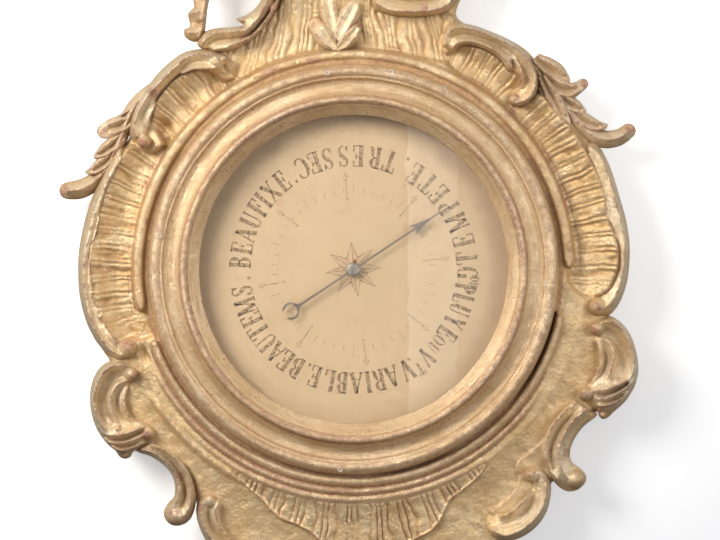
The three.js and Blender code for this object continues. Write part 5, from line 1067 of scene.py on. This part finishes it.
def ink_material(name, a, b2, wear=0.5):
    m, nt, b = mat_new(name)
    n = N(nt)
    co = n.coord()
    col = n.mix(n.ramp(n.noise(co, 260, 5, 0.7), [(0.38, 0.0), (0.38 + 0.36, 1.0)]), a, b2)
    col = n.mix(n.math("MULTIPLY", n.ramp(n.noise(co, 700, 4, 0.65), [(0.46, 0.0), (0.60, 1.0)]), wear), col, (0.50, 0.355, 0.215))
    n.link(col, b.inputs["Base Color"])
    b.inputs["Roughness"].default_value = 0.8
    b.inputs["Specular IOR Level"].default_value = 0.25
    return m


CARD = card_material()
INK = ink_material("ink_faded", (0.140, 0.090, 0.048), (0.25, 0.165, 0.09), 0.55)
INK_RED = ink_material("ink_star_shade", (0.33, 0.20, 0.12), (0.42, 0.28, 0.17), 0.6)
INK_STAR = ink_material("ink_star_lines", (0.13, 0.085, 0.052), (0.22, 0.14, 0.085), 0.25)
INK_FAINT = ink_material("ink_scale_faint", (0.30, 0.225, 0.14), (0.40, 0.29, 0.18), 0.75)

plate_ = lathe("dial_back_plate", [(2.6, 34.3), (140.6, 34.3), (141, 34.6), (141, 35.2), (140.6, 35.5), (2.6, 35.5)], BRASS, 160)
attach(plate_, "frame"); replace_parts(plate_, "dial_plate")
card = lathe("dial_paper_card", [(2.6, 35.8), (140.9, 35.8), (141, 35.95), (141, 36.25), (140.9, 36.4), (120, 36.42), (80, 36.4), (40, 36.42), (2.6, 36.4)], CARD, 200)
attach(card, "frame"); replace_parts(card, "dial_card")

PX = (D - 36.4) / F                                            # plan units to mm on the card


class Ink:
    """Printed shapes, each a thin closed slab on the card."""
    def __init__(self, h0=36.34, h1=36.47):
        self.v, self.f, self.h0, self.h1 = [], [], h0, h1
    def poly(self, pts):
        P = np.asarray(pts, float)
        A = 0.5 * np.sum(P[:, 0] * np.roll(P[:, 1], -1) - np.roll(P[:, 0], -1) * P[:, 1])
        if A < 0:
            P = P[::-1]
        n, s = len(P), len(self.v)
        self.v += [(x, -self.h1, z) for x, z in P] + [(x, -self.h0, z) for x, z in P]
        self.f += [[s + i for i in range(n)], [s + n + i for i in range(n - 1, -1, -1)]]
        self.f += [[s + (i + 1) % n, s + i, s + n + i, s + n + (i + 1) % n] for i in range(n)]
    def line(self, pts, w, closed=False):
        """Stroke along points; w is one width or one per point."""
        P = np.asarray(pts, float)
        n = len(P)
        w = np.broadcast_to(np.asarray(w, float), (n,))
        T = (np.roll(P, -1, 0) - np.roll(P, 1, 0)) if closed else np.gradient(P, axis=0)
        T /= np.linalg.norm(T, axis=1)[:, None] + 1e-12
        Nn = np.column_stack([-T[:, 1], T[:, 0]]) * (w / 2)[:, None]
        a, b = P + Nn, P - Nn
        m = n if closed else n - 1
        s = len(self.v)
        for h in (self.h1, self.h0):
            self.v += [(x, -h, z) for x, z in a] + [(x, -h, z) for x, z in b]
        A0, B0, A1, B1 = s, s + n, s + 2 * n, s + 3 * n
        for i in range(m):
            j = (i + 1) % n
            self.f += [[A0 + i, B0 + i, B0 + j, A0 + j], [A1 + i, A1 + j, B1 + j, B1 + i],
                       [A0 + j, A1 + j, A1 + i, A0 + i], [B0 + i, B1 + i, B1 + j, B0 + j]]
        if not closed:
            self.f += [[A0, A1, B1, B0], [A0 + n - 1, B0 + n - 1, B1 + n - 1, A1 + n - 1]]
    def make(self, name, mat):
        ob = make_object(name, np.array(self.v) * 0.001, self.f, mat, 0, smooth=False)
        import bmesh
        bm = bmesh.new(); bm.from_mesh(ob.data); bmesh.ops.recalc_face_normals(bm, faces=bm.faces); bm.to_mesh(ob.data); bm.free()
        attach(ob, "frame")
        return ob


def polar(a, r):
    """Card point in mm at a degrees clockwise from the top, r in plan units."""
    t = math.radians(a)
    return (r * PX * math.sin(t), r * PX * math.cos(t))


ink, red, faint, starl = Ink(), Ink(36.36, 36.45), Ink(36.35, 36.46), Ink(36.34, 36.48)
for r in (75.7, 87.0):
    faint.line([polar(a, r) for a in np.arange(0, 360, 1.5)], 0.34, True)
for k in range(50):
    a = k * 7.2
    ink.line([polar(a, 76.4), polar(a, 82.0 if k % 5 else 86.4)], 0.42)
STAR = [355.6, 43, 86, 128, 170, 215, 263, 303]
ARROWS = [355, 41, 83, 129, 172, 216, 260, 308]
vals = []
for i, a in enumerate(STAR):
    b = STAR[(i + 1) % 8]
    vals.append(a + ((b - a) % 360) / 2)
for i, a in enumerate(STAR):
    va, vb = vals[i - 1], vals[i]
    tip, l, rr, c = polar(a, 27.6), polar(va, 12.8), polar(vb, 12.8), polar(a, 3.4)
    starl.line([l, tip, rr], 0.72)
    starl.line([c, tip], 0.5)
    starl.line([polar(va, 5), l], 0.42)
    tipc = np.array(tip) * 0.97
    red.poly([c, tuple(tipc), rr, polar(vb, 5)])
for a in ARROWS:
    ink.line([polar(a, 70.5), polar(a, 93.5)], 0.6)
    ink.line([polar(a - 1.7, 91.6), polar(a, 97.0), polar(a + 1.7, 91.6)], 0.7)
    ink.line([polar(a - 1.5, 89.6), polar(a + 1.5, 89.6)], 0.5)
    ink.line([polar(a - 1.2, 72.2), polar(a, 69.6), polar(a + 1.2, 72.2)], 0.5)

# ---- capitals with thick upright and thin level strokes, in a box one unit high
TH, TN = 0.185, 0.055


def arc(cx, cy, rx, ry, a0, a1, n=18):
    return [(cx + rx * math.cos(math.radians(a0 + (a1 - a0) * i / n)), cy + ry * math.sin(math.radians(a0 + (a1 - a0) * i / n))) for i in range(n + 1)]


def serif(x, y, w=0.34):
    return ([(x - w / 2, y), (x + w / 2, y)], TN)


def stem(x, w=TH, y0=0.0, y1=1.0, s0=True, s1=True):
    o = [([(x, y0 + 0.01), (x, y1 - 0.01)], w)]
    if s0:
        o.append(serif(x, y0 + TN / 2))
    if s1:
        o.append(serif(x, y1 - TN / 2))
    return o


GLYPH = {
    "I": (0.40, stem(0.2)),
    "L": (0.78, stem(0.24) + [([(0.24, TN / 2), (0.72, TN / 2)], TN), ([(0.72, 0.0), (0.72, 0.3)], TN * 1.4)]),
    "T": (0.84, stem(0.42, s1=False) + [([(0.05, 1 - TN / 2), (0.79, 1 - TN / 2)], TN), ([(0.06, 1), (0.06, 0.72)], TN * 1.4), ([(0.78, 1), (0.78, 0.72)], TN * 1.4)]),
    "E": (0.78, stem(0.24) + [([(0.24, 1 - TN / 2), (0.7, 1 - TN / 2)], TN), ([(0.24, TN / 2), (0.72, TN / 2)], TN), ([(0.24, 0.52), (0.56, 0.52)], TN),
                              ([(0.7, 1), (0.7, 0.73)], TN * 1.4), ([(0.72, 0), (0.72, 0.3)], TN * 1.4), ([(0.56, 0.4), (0.56, 0.64)], TN * 1.4)]),
    "F": (0.74, stem(0.24) + [([(0.24, 1 - TN / 2), (0.7, 1 - TN / 2)], TN), ([(0.24, 0.52), (0.56, 0.52)], TN), ([(0.7, 1), (0.7, 0.73)], TN * 1.4), ([(0.56, 0.4), (0.56, 0.64)], TN * 1.4)]),
    "P": (0.78, stem(0.24) + [([(0.24, 0.975)] + arc(0.38, 0.73, 0.27, 0.245, 90, -90) + [(0.24, 0.485)], None)]),
    "B": (0.80, stem(0.24) + [([(0.24, 0.975)] + arc(0.38, 0.75, 0.24, 0.225, 90, -90) + [(0.24, 0.525)], None), ([(0.24, 0.525)] + arc(0.38, 0.275, 0.29, 0.25, 90, -90) + [(0.24, 0.025)], None)]),
    "R": (0.88, stem(0.24) + [([(0.24, 0.975)] + arc(0.38, 0.745, 0.25, 0.23, 90, -90) + [(0.24, 0.515)], None), ([(0.40, 0.51), (0.56, 0.44), (0.63, 0.3), (0.66, 0.12), (0.74, 0.03), (0.86, 0.08)], [TN, 0.10, TH, TH * 0.9, 0.08, TN])]),
    "D": (0.90, stem(0.24) + [([(0.24, 0.975)] + arc(0.36, 0.5, 0.40, 0.475, 90, -90) + [(0.24, 0.025)], None)]),
    "O": (0.92, [(arc(0.46, 0.5, 0.34, 0.475, 0, 342, 22), None, True)]),
    "G": (0.92, [(arc(0.48, 0.5, 0.36, 0.475, 48, 310, 22), None), ([(0.74, 0.0), (0.74, 0.42)], TH), serif(0.74, 0.43, 0.32), ([(0.74, 0.72), (0.74, 0.97)], TN * 1.4)]),
    "C": (0.86, [(arc(0.48, 0.5, 0.36, 0.475, 48, 312, 22), None), ([(0.74, 0.72), (0.74, 0.97)], TN * 1.4), ([(0.74, 0.03), (0.74, 0.26)], TN * 1.2)]),
    "S": (0.68, [([(0.56, 0.76), (0.50, 0.90), (0.35, 0.975), (0.20, 0.93), (0.12, 0.79), (0.17, 0.65), (0.32, 0.55), (0.47, 0.45), (0.56, 0.32), (0.54, 0.14), (0.38, 0.025), (0.22, 0.05), (0.12, 0.16), (0.09, 0.28)],
                  [TN, 0.06, 0.06, 0.09, 0.12, 0.16, TH, TH, 0.15, 0.11, 0.07, 0.06, 0.06, TN]), ([(0.585, 0.72), (0.585, 0.98)], TN * 1.3), ([(0.075, 0.02), (0.075, 0.28)], TN * 1.3)]),
    "A": (0.92, [([(0.14, 0.03), (0.44, 0.98)], TN * 1.3), ([(0.44, 0.98), (0.76, 0.03)], TH), ([(0.24, 0.33), (0.64, 0.33)], TN), serif(0.14, TN / 2, 0.26), serif(0.76, TN / 2, 0.32)]),
    "V": (0.92, [([(0.16, 0.97), (0.48, 0.02)], TH), ([(0.48, 0.02), (0.78, 0.97)], TN * 1.3), serif(0.16, 1 - TN / 2, 0.32), serif(0.78, 1 - TN / 2, 0.26)]),
    "U": (0.92, [([(0.24, 0.98), (0.24, 0.3), (0.29, 0.12), (0.42, 0.03), (0.56, 0.03), (0.68, 0.12), (0.72, 0.3), (0.72, 0.98)], [TH, TH, TH * 0.8, 0.09, TN, TN * 1.2, TN * 1.3, TN * 1.3]), serif(0.24, 1 - TN / 2, 0.34), serif(0.72, 1 - TN / 2, 0.26)]),
    "X": (0.92, [([(0.16, 0.98), (0.76, 0.02)], TH), ([(0.72, 0.98), (0.18, 0.02)], TN * 1.3), serif(0.16, 1 - TN / 2, 0.3), serif(0.76, TN / 2, 0.3), serif(0.72, 1 - TN / 2, 0.24), serif(0.18, TN / 2, 0.24)]),
    "Y": (0.90, [([(0.16, 0.98), (0.46, 0.45)], TH), ([(0.76, 0.98), (0.46, 0.45)], TN * 1.3), ([(0.46, 0.48), (0.46, 0.02)], TH), serif(0.16, 1 - TN / 2, 0.3), serif(0.76, 1 - TN / 2, 0.24), serif(0.46, TN / 2, 0.32)]),
    "M": (1.14, [([(0.18, 0.02), (0.18, 0.98)], TN * 1.3), ([(0.18, 0.98), (0.55, 0.06)], TH), ([(0.55, 0.06), (0.92, 0.98)], TN * 1.2), ([(0.93, 0.02), (0.93, 0.98)], TH), serif(0.18, TN / 2, 0.26), serif(0.93, TN / 2, 0.32), serif(0.16, 1 - TN / 2, 0.2), serif(0.96, 1 - TN / 2, 0.24)]),
    ".": (0.3, [([(0.08, 0.5), (0.22, 0.5)], 0.14)]),
}


def letter(ch, angle, r=114.0, height=22.0, outward=True, squeeze=0.86):
    wid, strokes = GLYPH[ch]
    t = math.radians(angle)
    for s in strokes:
        pts, w = s[0], s[1]
        closed = len(s) > 2
        P = np.asarray(pts, float)
        if w is None:  # round strokes: thick where they run upright
            T = (np.roll(P, -1, 0) - np.roll(P, 1, 0)) if closed else np.gradient(P, axis=0)
            T /= np.linalg.norm(T, axis=1)[:, None] + 1e-12
            w = TN + (TH - TN) * np.abs(T[:, 1]) ** 2.2
        x = (P[:, 0] - wid / 2) * height * squeeze
        y = (P[:, 1] - 0.5) * height
        if not outward:
            x, y = -x, -y
        X = (math.sin(t) * (r + y) + math.cos(t) * x) * PX
        Z = (math.cos(t) * (r + y) - math.sin(t) * x) * PX
        ink.line(np.column_stack([X, Z]), np.asarray(w, float) * height * PX, closed)


for word in ("V152 A160 R166.9 I172.5 A178.6 B185.6 L192 E199.6", "B210 E216.4 A223 U230 T237 E243.6 M251 S259", "B273.5 E280.6 A288 U295.6 F302.6 I307.6 X313.4 E320.8"):
    for item in word.split():
        letter(item[0], float(item[1:]), 113.6, 21.5, squeeze=0.70)
for item in "P99.6 L105 U110.8 Y117.4 E124.2".split():
    letter(item[0], float(item[1:]), 113.6, 21.5, squeeze=0.56)
letter("G", 91.6, 114, 21, squeeze=0.56)
letter("D", 94.6, 121.6, 9, squeeze=0.7); letter("E", 97.2, 121.6, 9, squeeze=0.7)
letter("O", 129.6, 111, 13.5, squeeze=0.66); letter("U", 134.4, 111, 13.5, squeeze=0.66)
letter("V", 140.2, 113.6, 20, squeeze=0.66); letter("T", 146.0, 120, 13, squeeze=0.66)
for item in "T18.7 R10.8 E2.6 S-5.2 S-13.2 E-19.8 C-26.8 T84.2 E75.5 M65.6 P56.4 E48.8 T41 E33".split():
    letter(item[0], float(item[1:]) % 360, 113.6, 21.5, outward=False, squeeze=0.72)
for a in (148.4, 204.6, 265.4, 327.2, 26.2, 127):
    letter(".", a, 105 if a > 100 else 123)
ink.make("dial_printing", INK)
red.make("dial_star_shading", INK_RED)
faint.make("dial_scale_circles", INK_FAINT)
starl.make("dial_star_lines", INK_STAR)

rivet = spindle("copper_dial_rivet", [(0, 36.6), (1.5, 36.6), (1.55, 36.8), (1.4, 37.1), (1.0, 37.35), (0.5, 37.47), (0, 37.5)], COPPER, 24, 0.9, 7.6)
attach(rivet, "frame"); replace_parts(rivet, "dial_rivet")

# ---------------------------------------------------------------- hand
def plate2d(name, loops, h0, h1, mat, bevel=0.12, shift=(0, 0)):
    """Flat plate with holes from (X, Z) loops in mm, its edges eased."""
    cu = bpy.data.curves.new(name, "CURVE")
    cu.dimensions = "2D"; cu.fill_mode = "BOTH"
    for L in loops:
        sp = cu.splines.new("POLY")
        sp.points.add(len(L) - 1)
        for p, (x, z) in zip(sp.points, L):
            p.co = (x * 0.001, z * 0.001, 0, 1)
        sp.use_cyclic_u = True
    cu.extrude = ((h1 - h0) / 2 - bevel) * 0.001
    cu.bevel_depth = bevel * 0.001
    cu.bevel_resolution = 2
    cu.offset = -bevel * 0.001
    tmp = bpy.data.objects.new(name + "_c", cu)
    SCENE.collection.objects.link(tmp)
    dg = bpy.context.evaluated_depsgraph_get()
    me = bpy.data.meshes.new_from_object(tmp.evaluated_get(dg))
    bpy.data.objects.remove(tmp)
    from mathutils import Matrix
    me.transform(Matrix(((1, 0, 0, 0), (0, 0, -1, -(h0 + h1) / 2 * 0.001), (0, 1, 0, 0), (0, 0, 0, 1))))
    import bmesh
    bm = bmesh.new(); bm.from_mesh(me)
    bmesh.ops.remove_doubles(bm, verts=bm.verts, dist=1e-6)
    bmesh.ops.recalc_face_normals(bm, faces=bm.faces)
    bm.to_mesh(me); bm.free()
    me.materials.clear()
    ob = bpy.data.objects.new(name, me)
    SCENE.collection.objects.link(ob)
    me.materials.append(mat)
    me.polygons.foreach_set("use_smooth", np.ones(len(me.polygons), bool))
    me.set_sharp_from_angle(angle=math.radians(28))
    return ob


def arcp(r, a0, a1, n, x=0.0, z=0.0):
    return [(x + r * math.cos(math.radians(a0 + (a1 - a0) * i / n)), z + r * math.sin(math.radians(a0 + (a1 - a0) * i / n))) for i in range(n + 1)]


CR = -67.5
hand_pts = (arcp(6.3, 81, -81, 30) + [(0.95, -8), (1.0, -30), (1.15, -55), (1.6, -58), (2.7, -60.2)] + arcp(7.9, 64, -62, 22, 0, CR) + arcp(5.8, -47, 47, 12, 0, CR + 0.2)
            + [(0.5, CR + 5.6), (0, CR + 5.75), (-0.5, CR + 5.6)] + arcp(5.8, 133, 227, 12, 0, CR + 0.2) + arcp(7.9, 242, 116, 22, 0, CR)
            + [(-2.7, -60.2), (-1.6, -58), (-1.15, -55), (-1.0, -30), (-0.95, -8)] + arcp(6.3, 261, 99, 30)
            + [(-0.9, 8), (-0.85, 40), (-0.9, 61), (-1.2, 65), (-1.6, 67.2), (-2.4, 66.4), (-3.6, 64.6), (-4.9, 63.2), (-4.1, 66.6), (-2.8, 71.6), (-1.7, 76.4), (-1.0, 80.4), (-0.6, 85), (-0.3, 101.3),
               (0.3, 101.3), (0.6, 85), (1.0, 80.4), (1.7, 76.4), (2.8, 71.6), (4.1, 66.6), (4.9, 63.2), (3.6, 64.6), (2.4, 66.4), (1.6, 67.2), (1.2, 65), (0.9, 61), (0.85, 40), (0.9, 8)])
ta = math.radians(-56.5)
turn = lambda L: [(x * math.cos(ta) - z * math.sin(ta), x * math.sin(ta) + z * math.cos(ta)) for x, z in L]
hand = plate2d("steel_hand", [turn(hand_pts), turn(arcp(2.7, 0, 345, 23))], 41.0, 41.9, BLUED, 0.14)
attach(hand, "pointer"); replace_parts(hand, "hand")
boss = lathe("hand_boss", [(2.35, 41.0), (5.6, 41.0), (5.9, 41.15), (5.9, 42.3), (5.5, 42.75), (4.2, 42.95), (2.75, 43.0), (2.35, 42.85)], DULL, 8)
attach(boss, "pointer")
collet = lathe("hand_socket", [(1.05, 38.0), (2.15, 38.0), (2.3, 38.15), (2.3, 43.0), (2.1, 43.25), (1.35, 43.3), (1.05, 43.1)], DULL, 32)
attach(collet, "pointer"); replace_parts(collet, "hand_collet")
arbor = spindle("pointer_arbor_turned", [(0, 23.4), (0.6, 23.4), (0.75, 23.6), (0.75, 26.0), (1.0, 26.0), (1.0, 28.2), (0.75, 28.2), (0.75, 43.0), (0.6, 43.2), (0, 43.2)], STEEL, 24)
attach(arbor, "pointer"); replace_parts(arbor, "pointer_arbor")

# ---------------------------------------------------------------- glass
def glass_material():
    m, nt, b = mat_new("old_crown_glass")
    n = N(nt)
    co = n.coord()
    b.inputs["Transmission Weight"].default_value = 1.0
    b.inputs["Roughness"].default_value = 0.0
    b.inputs["IOR"].default_value = 1.5
    tint = n.mix(n.ramp(n.noise(co, 12, 3), [(0.3, 0.0), (0.7, 1.0)]), (0.985, 0.99, 0.985), (0.965, 0.975, 0.96))
    n.link(tint, b.inputs["Base Color"])
    bp = n.node("ShaderNodeBump"); bp.inputs["Strength"].default_value = 0.06; bp.inputs["Distance"].default_value = 0.0006
    n.link(n.noise(co, 26, 2), bp.inputs["Height"]); n.link(bp.outputs["Normal"], b.inputs["Normal"])
    return m


GLASS = glass_material()
pane = spindle("dial_glass", [(0, 45.5), (142.7, 45.5), (143, 45.8), (143, 47.4), (142.7, 47.7), (70, 47.7), (0, 47.7)], GLASS, 160)
pane.visible_shadow = False
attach(pane, "frame"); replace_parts(pane, "glass")

# ---------------------------------------------------------------- back fittings and the movement
def rod_path(name, path, r, mat, sides=14, closed=True):
    P = curve(path, closed, 1.0)
    n = len(P)
    T = np.roll(P, -1, 0) - np.roll(P, 1, 0)
    T /= np.linalg.norm(T, axis=1)[:, None]
    up = np.tile([0.0, 1.0, 0.0], (n, 1))
    S = np.cross(T, up); S /= np.linalg.norm(S, axis=1)[:, None]
    q = np.linspace(0, 2 * np.pi, sides, endpoint=False)
    V = P[:, None, :] + r * (np.cos(q)[None, :, None] * S[:, None, :] + np.sin(q)[None, :, None] * up[:, None, :])
    i, k = np.meshgrid(np.arange(n), np.arange(sides), indexing="ij")
    f = np.stack([i * sides + k, i * sides + (k + 1) % sides, ((i + 1) % n) * sides + (k + 1) % sides, ((i + 1) % n) * sides + k], -1).reshape(-1, 4)
    ob = make_object(name, V.reshape(-1, 3) * 0.001, f, mat, 60)
    import bmesh
    bm = bmesh.new(); bm.from_mesh(ob.data); bmesh.ops.recalc_face_normals(bm, faces=bm.faces); bm.to_mesh(ob.data); bm.free()
    return ob


bow = [(1.5 + 16.5 * math.cos(math.radians(50 - 280 * i / 20)), -3.4, 280 + 16.5 * math.sin(math.radians(50 - 280 * i / 20))) for i in range(21)]
loop = [(1.5, -3.4, 300), (6.2, -3.4, 300), (10.9, -3.4, 300), (12.7, -3.4, 298.6)] + bow + [(-9.7, -3.4, 298.6), (-7.9, -3.4, 300), (-3.2, -3.4, 300)]
hring = rod_path("wire_hanging_ring", loop, 1.12, IRON)
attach(hring, "ring"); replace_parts(hring, "hanging_ring")

FINISH = {"hanger": IRON, "lever_bracket": BRASS, "base_plate": BRASS, "bridge": BRASS, "bearing": BRASS, "case": BRASS, "movement_screw": STEEL, "case_screw": BRASS,
          "capsule": NICKEL, "spring": STEEL, "chain": STEEL, "lever": STEEL, "link": STEEL, "regulator": STEEL, "adjusting": BRASS, "hairspring": BLUED}
shown = {r for o in bpy.data.objects for r in list(o.get("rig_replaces", []))}
for nm, ob in frame["nodes"].items():
    if nm in shown:
        continue
    pick = None
    for key in ("movement_screw", "case_screw", "hanger", "hairspring", "lever_bracket", "bridge", "bearing", "base_plate", "capsule", "adjusting", "leaf_spring", "chain", "lever", "regulator", "case"):
        if key in nm:
            pick = FINISH.get(key) or (STEEL if key == "leaf_spring" else BRASS)
            break
    ob.data.materials.clear()
    ob.data.materials.append(pick or GILT)

# ---------------------------------------------------------------- stage: pale wall and floor, soft light
def stage_material(name, colour, one_sided=False):
    m, nt, b = mat_new(name)
    n = N(nt)
    co = n.coord()
    col = n.mix(n.ramp(n.noise(co, 2.5, 3), [(0.3, 0.0), (0.7, 1.0)]), colour, tuple(c * 0.985 for c in colour))
    # painted shade: the wall colour darkens towards the lower right
    if one_sided:
        sp_ = n.node("ShaderNodeSeparateXYZ"); n.link(co, sp_.inputs[0])
        lower_right_falloff_shade = n.math("SUBTRACT", n.math("MULTIPLY", sp_.outputs["X"], 0.9), n.math("MULTIPLY", sp_.outputs["Z"], 1.0))
        col = n.mix(n.ramp(lower_right_falloff_shade, [(0.10, 0.0), (0.60, 1.0)]), col, (0.66, 0.666, 0.69))
    n.link(col, b.inputs["Base Color"])
    b.inputs["Roughness"].default_value = 0.95
    b.inputs["Specular IOR Level"].default_value = 0.1
    # the wall glows as painted light, which keeps it near white and its shadows pale; the glow carries the painted
    # shade at the lower right
    if one_sided:
        n.link(col, b.inputs["Emission Color"])
        b.inputs["Emission Strength"].default_value = 0.44
    if one_sided:  # the wall shows only from the front, so the back of the barometer can be seen
        geo = n.node("ShaderNodeNewGeometry"); tr = n.node("ShaderNodeBsdfTransparent"); mx = n.node("ShaderNodeMixShader")
        out = [x for x in nt.nodes if x.type == "OUTPUT_MATERIAL"][0]
        n.link(geo.outputs["Backfacing"], mx.inputs[0]); n.link(b.outputs[0], mx.inputs[1]); n.link(tr.outputs[0], mx.inputs[2])
        n.link(mx.outputs[0], out.inputs["Surface"])
    return m


def sheet_obj(name, corners, mat):
    # a finely divided flat panel
    (x0, y0, z0), (x1, y1, z1), (x2, y2, z2), (x3, y3, z3) = corners
    k = 9
    V = []
    for j in range(k):
        for i in range(k):
            a, b_ = i / (k - 1), j / (k - 1)
            p = [(1 - a) * (1 - b_) * c0 + a * (1 - b_) * c1 + a * b_ * c2 + (1 - a) * b_ * c3 for c0, c1, c2, c3 in zip(*corners)]
            V.append(p)
    Fc = [[j * k + i, j * k + i + 1, (j + 1) * k + i + 1, (j + 1) * k + i] for j in range(k - 1) for i in range(k - 1)]
    ob = make_object(name, np.array(V), Fc, mat, 0)
    return ob


WALL = stage_material("wall_paint", (0.93, 0.925, 0.915), True)
FLOOR = stage_material("floor_paint", (0.86, 0.855, 0.845))
wall = sheet_obj("wall", [(-3, 0.0012, -0.46), (3, 0.0012, -0.46), (3, 0.0012, 3), (-3, 0.0012, 3)], WALL)
wall.visible_diffuse = wall.visible_glossy = wall.visible_transmission = wall.visible_shadow = False
floor = sheet_obj("floor", [(-5, -5, -0.46), (5, -5, -0.46), (5, 5, -0.46), (-5, 5, -0.46)], FLOOR)
floor.visible_diffuse = floor.visible_glossy = False


def area(name, loc, target, size, power, colour=(1, 1, 1), size_y=None):
    li = bpy.data.lights.new(name, "AREA")
    li.shape = "RECTANGLE"; li.size = size; li.size_y = size_y or size
    li.energy = power; li.color = colour
    ob = bpy.data.objects.new(name, li)
    ob.location = loc
    ob.rotation_euler = (Vector(target) - Vector(loc)).to_track_quat("-Z", "Y").to_euler()
    SCENE.collection.objects.link(ob)
    return ob


world = bpy.data.worlds.new("studio")
SCENE.world = world
world.use_nodes = True
bg = world.node_tree.nodes["Background"]
wn = N(world.node_tree)
wsep = wn.node("ShaderNodeSeparateXYZ"); wn.link(wn.node("ShaderNodeTexCoord").outputs["Generated"], wsep.inputs[0])
wn.link(wn.ramp(wn.math("ADD", wn.math("MULTIPLY", wsep.outputs["Z"], 0.5), 0.5), [(0.30, (0.14, 0.132, 0.124)), (0.62, (0.47, 0.465, 0.455))]), bg.inputs["Color"])
bg.inputs["Strength"].default_value = 1.0
area("key", (-1.06, -1.11, 0.70), (0, 0, 0.0), 0.68, 25.0, (1.0, 0.975, 0.94))
area("fill", (1.62, -1.38, 0.28), (0, 0, 0.02), 1.0, 15.0, (0.97, 0.98, 1.0))
area("top", (0.1, -0.75, 1.5), (0, 0, 0.15), 0.9, 1.6, (1.0, 0.98, 0.96))
# a tall pale panel behind the camera that shows only as the sheen on the glass
for nm_, x_, w_, p_ in (("sheen_a", 0.194, 0.128, 0.62), ("sheen_b", 0.33, 0.144, 0.30)):
    o_ = area(nm_, (x_, -3.0, 0.35), (x_, 0.0, 0.35), w_, p_, (0.97, 0.98, 1.0), 2.2)
    o_.visible_diffuse = False
SCENE.view_settings.view_transform = "Standard"
SCENE.view_settings.exposure = 0.0
